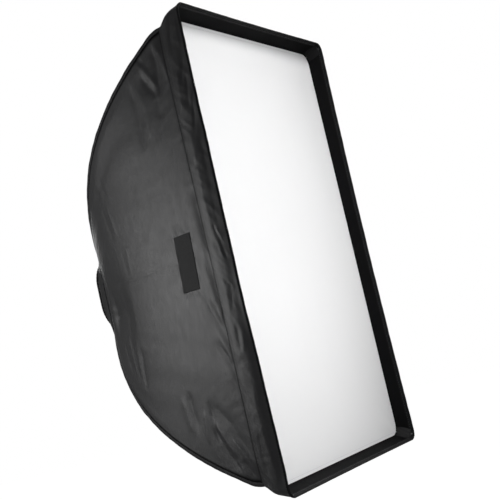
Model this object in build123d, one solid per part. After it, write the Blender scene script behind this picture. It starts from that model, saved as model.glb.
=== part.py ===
"""Fabric softbox on a bayonet speed ring: flexed rods, four outer panels with a
silver lining, a lip with a recessed lift-off diffuser, and an inner baffle.

Millimetres. The origin is on the optical axis, in the rear face of the insert
that meets the flash head. +Y points back into the flash head, so the light
leaves along -Y. +Z (top) runs along the long side of the front, and the left
is -X. Insets are measured inwards from the outer skin."""

import math
import os

from build123d import *

os.makedirs("parts", exist_ok=True)

# ---------------------------------------------------------- driving dimensions
front_width = 600.0          # outside of the rim, short side
front_length = 900.0         # outside of the rim, long side
depth = 481.0                # rim plane to mounting face
rim_y = -depth

# the seam over each rod, as a cubic curve in the diagonal plane:
# radius from the optical axis against distance behind the rim
seam_rear = (75.0, 472.0)
seam_rear_angle = math.radians(76.4)    # from the optical axis
seam_rear_reach = 258.6
seam_front_angle = math.radians(24.4)
seam_front_reach = 231.5

panel_thickness = 1.5
lining_gap = 0.1
lining_thickness = 0.4
lip_thickness = 1.6
lip_depth = 57.0             # rim to the lip seam
panel_overlap = 0.3          # how far short of the lip seam the panels stop
mitre_gap = 0.12

rod_radius = 2.5
ferrule_radius = 4.0
cap_radius = 3.1
fit_gap = 0.01               # radial gap of parts fixed on a rod or stud
slide_gap = 0.05             # radial gap of parts that move or lift out

cuff_half_x = 70.0
cuff_half_z = 76.0
cuff_corner = 55.0
cuff_thickness = 1.0

insert_front = -22.0
flange_thickness = 4.0
ring_bore = 56.0
ring_front = insert_front
ring_rear = -flange_thickness - 0.15

# ------------------------------------------------------------- the seam curve
seam_radius_front = math.hypot(front_width / 2, front_length / 2)
# direction of the front's diagonal
diag_x = front_width / 2 / seam_radius_front
diag_z = front_length / 2 / seam_radius_front

seam_poles = [
    seam_rear,
    (seam_rear[0] + seam_rear_reach * math.sin(seam_rear_angle),
     seam_rear[1] - seam_rear_reach * math.cos(seam_rear_angle)),
    (seam_radius_front - seam_front_reach * math.sin(seam_front_angle),
     seam_front_reach * math.cos(seam_front_angle)),
    (seam_radius_front, 0.0),
]


def seam(t, inset=0.0):
    """Radius and distance behind the rim at t (0 rear, 1 rim), moved inwards."""
    s = 1 - t
    point = [s ** 3 * a + 3 * s * s * t * b + 3 * s * t * t * c + t ** 3 * d
             for a, b, c, d in zip(*seam_poles)]
    slope = [3 * s * s * (b - a) + 6 * s * t * (c - b) + 3 * t * t * (d - c)
             for a, b, c, d in zip(*seam_poles)]
    size = math.hypot(*slope)
    return (point[0] + inset * slope[1] / size, point[1] - inset * slope[0] / size)


def seam_t(behind):
    """t where the seam is this far behind the rim, by bisection."""
    low, high = 0.0, 1.0
    for _ in range(60):
        middle = (low + high) / 2
        if seam(middle)[1] > behind:
            low = middle
        else:
            high = middle
    return (low + high) / 2


def seam_r(behind):
    return seam(seam_t(behind))[0]


def seam_points(t0, t1, inset, count):
    return [seam(t0 + (t1 - t0) * i / count, inset) for i in range(count + 1)]


# --------------------------------------------------------------- basic solids
def xz_plane(y):
    """Sketch plane across the optical axis: local x is X, local y is Z, normal -Y."""
    return Plane(origin=(0, y, 0), x_dir=(1, 0, 0), z_dir=(0, -1, 0))


def tube_y(radius, y0, y1, x=0.0, z=0.0):
    """Round bar along the optical axis from y0 to y1."""
    return extrude(xz_plane(y1) * Pos(x, z) * Circle(radius), amount=y1 - y0)


def bar(start, end, radius):
    """Round bar between two points."""
    start, end = Vector(*start), Vector(*end)
    span = end - start
    return extrude(Plane(origin=start, z_dir=span.normalized()) * Circle(radius),
                   amount=span.length)


def polar(radius, degrees):
    angle = math.radians(degrees)
    return (radius * math.cos(angle), radius * math.sin(angle))


def ribbon_face(first, second):
    """Face between two curves that run the same way, closed by straight ends."""
    edges = [Spline(*first), Line(first[-1], second[-1]),
             Spline(*second[::-1]), Line(second[0], first[0])]
    return make_face([e.edge() for e in edges])


def export(name, *shapes):
    solids = []
    for shape in shapes:
        solids += list(shape.solids())
    body = solids[0] if len(solids) == 1 else Compound(children=solids)
    export_step(body, f"parts/{name}.step")


# ------------------------------------------------------- sides of the softbox
# side: axis its panel faces along, sign on that axis
sides = {"left": ("x", -1), "right": ("x", 1), "top": ("z", 1), "bottom": ("z", -1)}
# axis: share of the seam radius, plane of the side outline
side_views = {"x": (diag_x, Plane.XY), "z": (diag_z, Plane.YZ)}


def side_curve(axis, sign, t0, t1, inset, count):
    """Points along the outline of one side, in its view plane, moved inwards."""
    scale = side_views[axis][0]
    step = 1e-4
    points = []
    for i in range(count + 1):
        t = t0 + (t1 - t0) * i / count
        before = seam(max(t - step, 0.0))
        after = seam(min(t + step, 1.0))
        run, rise = (after[0] - before[0]) * scale, after[1] - before[1]
        size = math.hypot(run, rise)
        radius, behind = seam(t)
        out = sign * (radius * scale + inset * rise / size)
        y = behind - inset * run / size + rim_y
        points.append((out, y) if axis == "x" else (y, out))
    return points


def side_face(side, t0, t1, outer_inset, inner_inset, count):
    """Cross-section of a sheet following one side between two insets."""
    axis, sign = sides[side]
    return side_views[axis][1] * ribbon_face(
        side_curve(axis, sign, t0, t1, outer_inset, count),
        side_curve(axis, sign, t0, t1, inner_inset, count))


def wedge(side):
    """The quarter of space one side lies in, cut on the corner planes."""
    axis, sign = sides[side]
    aspect = front_length / front_width
    if axis == "x":
        far = 420.0
        x = sign * (mitre_gap + far)
        points = [(sign * mitre_gap, 0), (x, aspect * far), (x, -aspect * far)]
    else:
        far = 620.0
        z = sign * (mitre_gap + far)
        points = [(0, sign * mitre_gap), (far / aspect, z), (-far / aspect, z)]
    face = Plane.XZ * make_face(Polyline(*points, close=True).edges())
    return extrude(face, amount=560, both=True)


def side_sheet(side, t0, t1, outer_inset, inner_inset, count=12):
    """A bent sheet following one side, mitred at the seams."""
    face = side_face(side, t0, t1, outer_inset, inner_inset, count)
    return extrude(face, amount=460, both=True) & wedge(side)


def hull_solid(inset):
    """Everything inside the outer skin, moved inwards by inset."""
    solids = []
    for axis, (_, plane) in side_views.items():
        face = ribbon_face(side_curve(axis, 1, 0.0, 1.0, inset, 24),
                           side_curve(axis, -1, 0.0, 1.0, inset, 24))
        solids.append(extrude(plane * face, amount=480, both=True))
    return solids[0] & solids[1]


def skin_rectangle(behind, inset, corner):
    """Rounded rectangle that fits the skin this far behind the rim."""
    radius = seam_r(behind)
    return RectangleRounded(2 * (radius * diag_x - inset), 2 * (radius * diag_z - inset),
                            corner)


# ------------------------------------------------------------ fabric and cuff
cuff_outer = RectangleRounded(2 * cuff_half_x, 2 * cuff_half_z, cuff_corner)
cuff_inner = RectangleRounded(2 * (cuff_half_x - cuff_thickness),
                              2 * (cuff_half_z - cuff_thickness),
                              cuff_corner - cuff_thickness)


def cuff_cutter(sketch):
    return extrude(xz_plane(20) * sketch, amount=80)


def build_fabric():
    """Panel, lining and lip of each side; the cuff opening is cut at the rear."""
    opening = cuff_cutter(cuff_inner)
    panel_end = seam_t(lip_depth + panel_overlap)
    lip_start = seam_t(lip_depth)
    lip_end = seam_t(2.7)
    lining_inset = panel_thickness + lining_gap
    for side in sides:
        panel = side_sheet(side, 0.0, panel_end, 0.0, panel_thickness)
        export(f"panel_{side}", panel - opening)
        lining = side_sheet(side, 0.0, panel_end, lining_inset,
                            lining_inset + lining_thickness)
        export(f"lining_{side}", lining - opening)
        lip = side_sheet(side, lip_start, lip_end, 0.0, lip_thickness, count=5)
        export(f"lip_{side}", lip)


def build_rim_hem():
    """Bound edge of the lip."""
    hem_width = 3.0
    hem_rear = 1.9           # behind the rim
    hem_length = 2.9
    outer = RectangleRounded(front_width, front_length, 4.0)
    inner = RectangleRounded(front_width - 2 * hem_width,
                             front_length - 2 * hem_width, 2.0)
    export("rim_hem", extrude(xz_plane(rim_y + hem_rear) * (outer - inner),
                              amount=hem_length))


def build_cuff():
    """Collar around the ring, standing on the skin, slotted for the brake screw."""
    cuff_rear = -1.0
    slot_depth, slot_width = 16, 11      # along X and Z
    sleeve = extrude(xz_plane(cuff_rear) * (cuff_outer - cuff_inner), amount=30)
    sleeve -= hull_solid(-0.06)
    slot = Pos(cuff_half_x, -8.5, 0) * Box(slot_depth, 20, slot_width)
    export("rear_cuff", sleeve - slot)
    elastic = offset(cuff_outer, 2.0) - offset(cuff_outer, 0.15)
    export("cuff_elastic", extrude(xz_plane(cuff_rear - 0.2) * elastic, amount=4.5)
           - Pos(cuff_half_x, -4, 0) * Box(slot_depth, 12, slot_width))


def build_label():
    """Woven patch on the left panel, just behind the lip seam."""
    label_rear, label_front = 143.0, 95.0    # behind the rim
    face = side_face("left", seam_t(label_rear), seam_t(label_front), -0.15, -0.95, 6)
    export("label_patch", Pos(0, 0, -4.5) * extrude(face, amount=52.5, both=True))


# ------------------------------------------------------------------- diffuser
diffuser_recess = 34.0       # rim to the diffuser's face
diffuser_thickness = 0.7
diffuser_corner = 26.0
loop_thickness = 1.0
hook_thickness = 0.8
border_thickness = 0.6
strip_front = 37.0           # behind the rim
flange_rear = 55.0           # how far back the diffuser's flange reaches


def frame_strip(front, inset, thickness, corner):
    """Closed strip along the lip, from front back to the flange's rear edge."""
    def shell(skin_inset, skin_corner):
        return loft([xz_plane(behind + rim_y) * skin_rectangle(behind, skin_inset, skin_corner)
                     for behind in (front, flange_rear)], ruled=True)

    return shell(inset, corner) - shell(inset + thickness, corner - thickness)


def build_diffuser():
    """Loop strip on the lip, hook strip on the flange, flange border and cloth."""
    loop_inset = lip_thickness + 0.3
    hook_inset = loop_inset + loop_thickness + 0.12
    border_inset = hook_inset + hook_thickness + 0.06
    border_corner = diffuser_corner - 2.1
    cloth_rear = diffuser_recess + diffuser_thickness
    export("loop_strip", frame_strip(strip_front, loop_inset, loop_thickness,
                                     diffuser_corner))
    export("hook_strip", frame_strip(strip_front, hook_inset, hook_thickness,
                                     diffuser_corner - 1.2))
    export("diffuser_border", frame_strip(cloth_rear + 0.1, border_inset,
                                          border_thickness, border_corner))
    cloth = skin_rectangle(diffuser_recess, border_inset, border_corner)
    export("diffuser_cloth", extrude(xz_plane(rim_y + cloth_rear) * cloth,
                                     amount=diffuser_thickness))


# ----------------------------------------------------- rods and corner pieces
# signs of X and Z of each corner
corners = {"top_left": (-1, 1), "top_right": (1, 1),
           "bottom_left": (-1, -1), "bottom_right": (1, -1)}

rod_inset = 8.5              # rod centre below the seam
rod_tip_t = seam_t(20.0)     # where the rod's bend ends

# The straight ends of a rod lie on two lines in the diagonal plane, each a
# point and a direction: the hub line runs forwards out of the ring, the tip
# line runs on towards the rim. Places on them are distances from the point.
hub_line = (seam(0.0, rod_inset),
            (math.sin(seam_rear_angle), -math.cos(seam_rear_angle)))
hub_end = -13.0
hub_knee = 6.0               # where the rod starts to bend

tip_root = seam(rod_tip_t, rod_inset)
tip_before = seam(rod_tip_t - 1e-3, rod_inset)
tip_step = math.dist(tip_root, tip_before)
tip_line = (tip_root, ((tip_root[0] - tip_before[0]) / tip_step,
                       (tip_root[1] - tip_before[1]) / tip_step))
tip_end = 13.0


def corner_point(corner, point):
    """Point in a corner plane, (radius, distance behind the rim), in space."""
    return (corner[0] * diag_x * point[0], point[1] + rim_y, corner[1] * diag_z * point[0])


def corner_direction(corner, direction):
    return (corner[0] * diag_x * direction[0], direction[1],
            corner[1] * diag_z * direction[0])


def along(line, distance):
    origin, direction = line
    return (origin[0] + direction[0] * distance, origin[1] + direction[1] * distance)


def line_bar(corner, line, start, end, radius):
    """Round bar on the hub or tip line of one corner."""
    return bar(corner_point(corner, along(line, start)),
               corner_point(corner, along(line, end)), radius)


def build_bindings():
    """Bound seam standing along each rod, outside the skin."""
    t0, t1 = 0.012, seam_t(4.0)
    low, high = [[(radius, behind + rim_y)
                  for radius, behind in seam_points(t0, t1, inset, 16)]
                 for inset in (-0.15, -3.2)]
    cuff_full = cuff_cutter(offset(cuff_outer, 0.1))
    for name, (sign_x, sign_z) in corners.items():
        plane = Plane(origin=(0, 0, 0), x_dir=(sign_x * diag_x, 0, sign_z * diag_z),
                      z_dir=(-sign_z * diag_z, 0, sign_x * diag_x))
        fin = extrude(plane * ribbon_face(low, high), amount=1.1, both=True)
        export(f"binding_{name}", fin - cuff_full)


def rod(corner):
    bend = [along(hub_line, hub_knee)] + seam_points(0.03, rod_tip_t, rod_inset, 12)[1:]
    path = Spline(*[corner_point(corner, p) for p in bend],
                  tangents=[corner_direction(corner, hub_line[1]),
                            corner_direction(corner, tip_line[1])])
    swept = sweep(Plane(origin=path @ 0, z_dir=path % 0) * Circle(rod_radius), path=path)
    return swept + line_bar(corner, hub_line, hub_end, hub_knee, rod_radius) \
        + line_bar(corner, tip_line, 0.0, tip_end, rod_radius)


def ferrule(corner):
    """Steel sleeve crimped on the hub end."""
    end = hub_end + 18.0
    return line_bar(corner, hub_line, hub_end, end, ferrule_radius) \
        - line_bar(corner, hub_line, hub_end, end, rod_radius + fit_gap)


def end_cap(corner):
    """Nylon cap on the far end."""
    return line_bar(corner, tip_line, 1.0, 15.0, cap_radius) \
        - line_bar(corner, tip_line, 1.0, tip_end + 0.05, rod_radius + fit_gap)


def corner_prism(corner, x, z, leg, rear, length):
    """Triangular prism, right angle outwards at (x, z), from rear towards the front."""
    sign_x, sign_z = corner
    triangle = make_face(Polyline((x, z), (x - sign_x * leg, z), (x, z - sign_z * leg),
                                  close=True).edges())
    return extrude(xz_plane(rim_y + rear) * triangle, amount=length, dir=(0, -1, 0))


def corner_pocket(corner, core):
    """Stitched pocket over the cap, fitted inside the lip."""
    front, rear = 4.0, 24.0  # behind the rim
    sign_x, sign_z = corner
    front_radius, rear_radius = seam_r(front), seam_r(rear)
    block = corner_prism(corner, sign_x * front_radius * diag_x,
                         sign_z * front_radius * diag_z, 30.0, rear, rear - front)
    # a larger prism, overshooting the corner, trims the pocket diagonally
    over = 40.0
    keep = corner_prism(corner,
                        sign_x * (rear_radius * diag_x - lip_thickness + over),
                        sign_z * (rear_radius * diag_z - lip_thickness + over),
                        18.0 + 2 * over, 30.0, 40.0)
    return (block & core & keep) - line_bar(corner, tip_line, -14.0, 15.2, cap_radius + 0.12)


def build_rods():
    core = hull_solid(lip_thickness + 0.15)
    for name, corner in corners.items():
        export(f"rod_{name}", rod(corner))
    export("rod_ferrules", *[ferrule(c) for c in corners.values()])
    export("rod_end_caps", *[end_cap(c) for c in corners.values()])
    export("corner_pockets", *[corner_pocket(c, core) for c in corners.values()])


# ------------------------------------------------------- rotation brake screw
brake_y = -13.0
brake_travel = 3.0
shoe_radius = 3.95
shoe_face = ring_bore + 0.1  # radius of the shoe's hollow inner face
shoe_outer = shoe_face + 3.0
stud_radius = 2.95
stud_outer = 84.0
knob_radius = 8.0
knob_inner = 76.5            # X of the knob's inner end


def brake_bar(x0, x1, radius, offset_y=0.0, z=0.0):
    """Round bar along X, on the brake screw's axis unless offset."""
    return bar((x0, brake_y + offset_y, z), (x1, brake_y + offset_y, z), radius)


def build_brake():
    shoe = brake_bar(50, shoe_outer, shoe_radius)
    shoe -= tube_y(shoe_face, -60, 40)
    export("brake_shoe", shoe)
    export("thumbscrew_stud", brake_bar(shoe_outer + 0.1, stud_outer, stud_radius))

    knob = brake_bar(knob_inner + 4, knob_inner + 15, knob_radius) \
        + brake_bar(knob_inner, knob_inner + 4.5, 5.2)
    for i in range(12):
        groove_y, groove_z = polar(knob_radius + 0.9, 30.0 * i)
        knob -= brake_bar(knob_inner + 3, knob_inner + 17, 1.6, groove_y, groove_z)
    knob -= brake_bar(knob_inner - 1, stud_outer + 0.05, stud_radius + fit_gap)
    export("thumbscrew_knob", knob)


# ----------------------------------------------------------------- speed ring
ring_radius = 64.0
ring_flange_radius = 67.0
ring_flange_front = -7.5
socket_radius = 6.5
pivot_radius = 60.5          # of the clip screws about the optical axis
clip_angles = {"a": 90.0, "b": 210.0, "c": 330.0}
clip_half_width = 4.0
clip_length = 11.0           # between the centres of its round ends
clip_hole_radius = 1.6
screw_radius = 1.55
screw_head_rear = ring_front - 3.1
screw_head_front = ring_front - 5.2


def build_speed_ring():
    ring = tube_y(ring_radius, ring_front, ring_rear) \
        + tube_y(ring_flange_radius, ring_flange_front, ring_rear)
    # rod sockets and the brake boss
    for corner in corners.values():
        ring += line_bar(corner, hub_line, hub_end - 2.2, hub_end + 12.0, socket_radius)
    ring += brake_bar(60, 68.2, 6.5)
    ring -= tube_y(ring_bore, ring_front - 10, ring_rear + 5)
    for corner in corners.values():
        ring -= line_bar(corner, hub_line, hub_end - 0.1, hub_end + 30.0,
                         ferrule_radius + slide_gap)
    # pocket for the shoe, then the stud's hole through the boss
    ring -= brake_bar(50, shoe_outer + brake_travel + 0.3, shoe_radius + slide_gap)
    ring -= brake_bar(50, 75, stud_radius + slide_gap)
    for angle in clip_angles.values():
        x, z = polar(pivot_radius, angle)
        ring -= tube_y(clip_hole_radius, ring_front - 1, ring_front + 8, x, z)
    export("speed_ring", ring)


def build_clips():
    """Three flat clips on the ring's front face, each on a slotted screw."""
    outline = (Circle(clip_half_width)
               + Pos(-clip_length / 2, 0) * Rectangle(clip_length, 2 * clip_half_width)
               + Pos(-clip_length, 0) * Circle(clip_half_width)) - Circle(clip_hole_radius)
    screws = []
    for key, angle in clip_angles.items():
        x, z = polar(pivot_radius, angle)
        clip = extrude(xz_plane(ring_front - 0.15) * Pos(x, z) * Rot(0, 0, angle) * outline,
                       amount=2.85)
        export(f"clip_{key}", clip)
        slot = Pos(x, screw_head_front, z) * Rot(0, angle, 0) * Box(5.0, 1.6, 0.9)
        screws.append(tube_y(screw_radius, screw_head_rear, ring_front + 7.8, x, z)
                      + tube_y(3.0, screw_head_front, screw_head_rear, x, z)
                      - slot)
    export("clip_screws", *screws)


# ------------------------------------------------------------- bayonet insert
insert_bore = 44.0
insert_barrel = ring_bore - slide_gap
insert_flange = 60.0
spigot_radius = 47.5
spigot_length = 10.0
lug_radius = 51.5
lug_root = spigot_radius - 1.5   # the lug starts inside the spigot wall
lug_length = 4.0
lug_angle = 40.0


def bayonet_lug(angle):
    angles = (angle - lug_angle / 2, angle, angle + lug_angle / 2)
    inner = [polar(lug_root, a) for a in angles]
    outer = [polar(lug_radius, a) for a in angles]
    outline = [ThreePointArc(*inner), Line(inner[2], outer[2]),
               ThreePointArc(*outer[::-1]), Line(outer[0], inner[0])]
    face = make_face([e.edge() for e in outline])
    return extrude(xz_plane(spigot_length) * face, amount=lug_length, dir=(0, -1, 0))


def build_insert():
    insert = tube_y(insert_barrel, insert_front, -flange_thickness) \
        + tube_y(insert_flange, -flange_thickness, 0.0) \
        + tube_y(spigot_radius, 0.0, spigot_length)
    for k in range(3):
        insert += bayonet_lug(120.0 * k)
    insert -= tube_y(insert_bore, insert_front - 5, spigot_length + 5)
    # lead-in cone at the front of the bore
    insert -= extrude(xz_plane(insert_front + 3.0) * Circle(insert_bore),
                      amount=3.01, taper=-45)
    export("bayonet_insert", insert)


# --------------------------------------------------------------- inner baffle
baffle_behind = 200.0        # behind the rim
baffle_y = rim_y + baffle_behind
baffle_half_x = 205.0
baffle_half_z = 325.0
baffle_hem = 10.0
strap_width = 15.0
strap_end = 7.0              # strap and tab reach past the snap's centre
snap_hole = 2.3

# strap places: outward direction in X and Z, place along the edge
strap_places = [(1, 0, 200.0), (1, 0, -200.0), (-1, 0, 200.0), (-1, 0, -200.0),
                (0, 1, 115.0), (0, 1, -115.0), (0, -1, 115.0), (0, -1, -115.0)]


def baffle_plate(inset, corner, half_thickness):
    sketch = RectangleRounded(2 * (baffle_half_x - inset), 2 * (baffle_half_z - inset), corner)
    return extrude(xz_plane(baffle_y + half_thickness) * sketch, amount=2 * half_thickness)


def strap_block(place, near, far, y0, y1):
    """Box across one baffle edge, from near to far of the optical axis."""
    out_x, out_z, shift = place
    middle, y = (near + far) / 2, (y0 + y1) / 2
    if out_x:
        return Pos(out_x * middle, y, shift) * Box(far - near, y1 - y0, strap_width)
    return Pos(shift, y, out_z * middle) * Box(strap_width, y1 - y0, far - near)


def build_baffle():
    """Bordered cloth, with straps that snap onto tabs on the lining."""
    export("baffle_border", baffle_plate(0.0, 18.0, 0.8) - baffle_plate(baffle_hem, 10.0, 2))
    export("baffle_cloth", baffle_plate(baffle_hem + 0.1, 9.9, 0.3))
    # the fabric's thickness, allowing for its slope, and a gap
    wall_inset = (panel_thickness + lining_gap + lining_thickness) * 1.2 + 0.6
    wall_radius = seam_r(baffle_behind + 5.5)
    straps, snaps, tabs, studs = [], [], [], []
    for place in strap_places:
        out_x, out_z, shift = place
        edge = baffle_half_x if out_x else baffle_half_z
        wall = wall_radius * (diag_x if out_x else diag_z) - wall_inset
        snap_at = wall - 11.0
        x, z = (out_x * snap_at, shift) if out_x else (shift, out_z * snap_at)
        strap = strap_block(place, edge - 8.0, snap_at + strap_end,
                            baffle_y + 1.0, baffle_y + 1.9)
        strap -= tube_y(snap_hole, baffle_y - 5, baffle_y + 10, x, z)
        straps.append(strap)
        snaps.append(tube_y(5.5, baffle_y - 0.4, baffle_y + 0.9, x, z)
                     - tube_y(snap_hole, baffle_y + 0.1, baffle_y + 2, x, z))
        tabs.append(strap_block(place, snap_at - strap_end, wall,
                                baffle_y + 3.4, baffle_y + 4.4))
        studs.append(tube_y(4.5, baffle_y + 2.1, baffle_y + 3.3, x, z)
                     + tube_y(2.0, baffle_y + 0.3, baffle_y + 2.2, x, z))
    export("baffle_straps", *straps)
    export("strap_snaps", *snaps)
    export("baffle_tabs", *tabs)
    export("tab_studs", *studs)


build_fabric()
build_rim_hem()
build_bindings()
build_cuff()
build_label()
build_diffuser()
build_rods()
build_speed_ring()
build_clips()
build_insert()
build_brake()
build_baffle()
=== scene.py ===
import math

import bpy
import bmesh
import numpy as np
from mathutils import Matrix, Vector


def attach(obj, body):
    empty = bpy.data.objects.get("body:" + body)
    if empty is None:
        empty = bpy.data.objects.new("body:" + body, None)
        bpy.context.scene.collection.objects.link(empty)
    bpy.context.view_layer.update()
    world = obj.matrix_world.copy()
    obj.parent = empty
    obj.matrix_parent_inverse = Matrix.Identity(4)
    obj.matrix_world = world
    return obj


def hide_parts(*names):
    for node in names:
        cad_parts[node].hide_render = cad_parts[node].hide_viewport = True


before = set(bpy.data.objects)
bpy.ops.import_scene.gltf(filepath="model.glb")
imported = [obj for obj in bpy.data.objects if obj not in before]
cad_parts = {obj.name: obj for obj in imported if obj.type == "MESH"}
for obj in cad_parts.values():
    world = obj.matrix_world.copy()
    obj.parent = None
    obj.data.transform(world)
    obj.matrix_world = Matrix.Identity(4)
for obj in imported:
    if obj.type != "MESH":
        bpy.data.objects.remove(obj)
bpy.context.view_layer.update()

# =====================================================================
# driving sizes
# =====================================================================
WIDTH, LENGTH, DEPTH = 0.600, 0.900, 0.481
RIM_Y = -DEPTH
LIP_DEPTH = 0.057                        # the lip seam lies this far behind the rim
REACH = math.hypot(WIDTH / 2, LENGTH / 2)            # axis to rim corner
CORNER_X, CORNER_Z = (WIDTH / 2) / REACH, (LENGTH / 2) / REACH

# corner name: signs of x and z
CORNERS = {"top_left": (-1, 1), "top_right": (1, 1),
           "bottom_left": (-1, -1), "bottom_right": (1, -1)}

# the collar's outline: half width, half height, corner radius
COLLAR_HALF_X, COLLAR_HALF_Z, COLLAR_RADIUS = 0.0695, 0.0755, 0.0545

RIGHT, TOP, LEFT, BOTTOM = range(4)


# =====================================================================
# the seam over a rod: a Bezier curve from hub to rim corner
# =====================================================================
def seam(t):
    """Radius and distance behind the rim of the seam over a rod."""
    hub, rim = (0.075, 0.472), (REACH, 0.0)
    hub_angle, hub_handle = math.radians(76.4), 0.2586
    rim_angle, rim_handle = math.radians(24.4), 0.2315
    after_hub = (hub[0] + hub_handle * math.sin(hub_angle),
                 hub[1] - hub_handle * math.cos(hub_angle))
    before_rim = (rim[0] - rim_handle * math.sin(rim_angle),
                  rim[1] + rim_handle * math.cos(rim_angle))
    s = 1 - t
    return tuple(s ** 3 * a + 3 * s * s * t * b + 3 * s * t * t * c + t ** 3 * d
                 for a, b, c, d in zip(hub, after_hub, before_rim, rim))


SEAM_T = np.linspace(0, 1, 2001)
SEAM_R, SEAM_BEHIND = seam(SEAM_T)
SEAM_ARC = np.concatenate([[0], np.cumsum(np.hypot(np.diff(SEAM_R), np.diff(SEAM_BEHIND)))])


def radius_at(behind):
    """Distance from the axis to the corner seam."""
    return np.interp(-np.asarray(behind, float), -SEAM_BEHIND, SEAM_R)


def arc_at(behind):
    """Length along the corner seam from the hub."""
    t = np.interp(-np.asarray(behind, float), -SEAM_BEHIND, SEAM_T)
    return float(np.interp(t, SEAM_T, SEAM_ARC))


def seam_by_arc(arc):
    """Radius and distance behind the rim at lengths along the seam."""
    t = np.interp(arc, SEAM_ARC, SEAM_T)
    return np.interp(t, SEAM_T, SEAM_R), np.interp(t, SEAM_T, SEAM_BEHIND)


# =====================================================================
# patterns
# =====================================================================
_noise_rng = np.random.RandomState(41)
NOISE_TABLE = _noise_rng.permutation(256)
NOISE_ANGLES = _noise_rng.rand(256) * 2 * np.pi


def smooth(x):
    x = np.clip(x, 0, 1)
    return x * x * (3 - 2 * x)


def bell(x):
    return np.exp(-x ** 2)


def noise(x, y, seed=0):
    """Gradient noise in about -1 to 1."""
    x = np.asarray(x, float) + seed * 17.31
    y = np.asarray(y, float) + seed * 9.73
    cell_x, cell_y = np.floor(x).astype(int), np.floor(y).astype(int)
    x, y = x - cell_x, y - cell_y

    def slope(dx, dy):
        angle = NOISE_ANGLES[NOISE_TABLE[(NOISE_TABLE[(cell_x + dx) & 255] + cell_y + dy) & 255]]
        return np.cos(angle) * (x - dx) + np.sin(angle) * (y - dy)

    u = x ** 3 * (x * (x * 6 - 15) + 10)
    v = y ** 3 * (y * (y * 6 - 15) + 10)
    near = slope(0, 0) * (1 - u) + slope(1, 0) * u
    far = slope(0, 1) * (1 - u) + slope(1, 1) * u
    return 1.5 * (near * (1 - v) + far * v)


def creased(x, y, seed, sharp):
    """Soft valleys with sharper crests, as creased cloth has."""
    n = noise(x, y, seed)
    return (1 - sharp) * n + sharp * (1 - 2 * np.minimum(np.abs(n) * 1.6, 1)) * 0.7


# =====================================================================
# mesh helpers
# =====================================================================
def add_object(name, data):
    ob = bpy.data.objects.new(name, data)
    bpy.context.scene.collection.objects.link(ob)
    return ob


def add_mesh(name, verts, faces, uvs, mats, mat_ids=None, attrs=None, sharp=50.0):
    """Smooth-shaded mesh whose edges over "sharp" degrees are sharp."""
    me = bpy.data.meshes.new(name)
    me.from_pydata([tuple(map(float, v)) for v in verts], [],
                   [tuple(map(int, f)) for f in faces])
    me.validate()
    me.update()
    layer = me.uv_layers.new(name="UVMap")
    corners = np.empty(len(me.loops), dtype=np.int32)
    me.loops.foreach_get("vertex_index", corners)
    layer.data.foreach_set("uv", np.asarray(uvs, np.float32)[corners].ravel())
    for key, values in (attrs or {}).items():
        attribute = me.attributes.new(key, "FLOAT", "POINT")
        attribute.data.foreach_set("value", np.asarray(values, np.float32))
    for mat in mats:
        me.materials.append(mat)
    if mat_ids is not None:
        me.polygons.foreach_set("material_index", np.asarray(mat_ids, np.int32))
    me.shade_smooth()
    me.set_sharp_from_angle(angle=math.radians(sharp))
    return add_object(name, me)


def place(ob, slot, body, *replaced):
    if replaced:
        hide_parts(*replaced)
    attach(ob, body)


def face_outwards(ob):
    bm = bmesh.new()
    bm.from_mesh(ob.data)
    bmesh.ops.recalc_face_normals(bm, faces=bm.faces)
    bm.to_mesh(ob.data)
    bm.free()


def grid_faces(rows, cols, wrap, base=0, flip=False, wrap_rows=False):
    i, j = np.meshgrid(np.arange(rows if wrap_rows else rows - 1),
                       np.arange(cols if wrap else cols - 1), indexing="ij")
    next_i, next_j = (i + 1) % rows, (j + 1) % cols
    f = base + np.stack([i * cols + j, i * cols + next_j,
                         next_i * cols + next_j, next_i * cols + j], -1).reshape(-1, 4)
    return f[:, ::-1] if flip else f


def shell_faces(rows, cols, wrap, base=0, turn_rims=True):
    """Two facing sheets, one stored after the other, joined round their edges."""
    count = rows * cols
    faces = [grid_faces(rows, cols, wrap, base),
             grid_faces(rows, cols, wrap, base + count, flip=True)]
    rims = []
    for row in (0, rows - 1):
        j = np.arange(cols if wrap else cols - 1)
        start = base + row * cols
        rims.append((start + j, start + (j + 1) % cols, row == 0))
    if not wrap:
        for col in (0, cols - 1):
            start = base + np.arange(rows - 1) * cols + col
            rims.append((start, start + cols, col == cols - 1))
    for a, b, turned in rims:
        f = np.stack([a, b, b + count, a + count], -1)
        faces.append(f[:, ::-1] if turned and turn_rims else f)
    return np.concatenate(faces)


def shell(name, outer, inner, wrap, mats, uv, attrs=None, inner_slot=0, sharp=60):
    """Closed sheet between outer and inner points (rows, columns, 3)."""
    rows, cols = outer.shape[:2]
    faces = shell_faces(rows, cols, wrap)
    cells = (rows - 1) * (cols if wrap else cols - 1)
    ids = np.zeros(len(faces), int)
    ids[cells:2 * cells] = inner_slot
    return add_mesh(name, np.concatenate([outer.reshape(-1, 3), inner.reshape(-1, 3)]), faces,
                    np.concatenate([uv.reshape(-1, 2)] * 2), mats, ids,
                    {k: np.concatenate([v.ravel()] * 2) for k, v in (attrs or {}).items()},
                    sharp)


def ring_band(name, rows, mats, uv, mat_ids=None, attrs=None, sharp=60):
    """Closed band: rows of closed loops that join back on themselves."""
    faces = grid_faces(*rows.shape[:2], wrap=True, wrap_rows=True)
    return add_mesh(name, rows.reshape(-1, 3), faces, uv.reshape(-1, 2), mats, mat_ids,
                    {k: v.ravel() for k, v in (attrs or {}).items()}, sharp)


def ring_uv(along, rows, step):
    """UVs of a band: metres round it, and a fixed step from row to row."""
    shape = (rows, len(along))
    return np.stack([np.broadcast_to(along, shape),
                     np.broadcast_to(np.arange(rows)[:, None] * step, shape)], -1)


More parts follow.
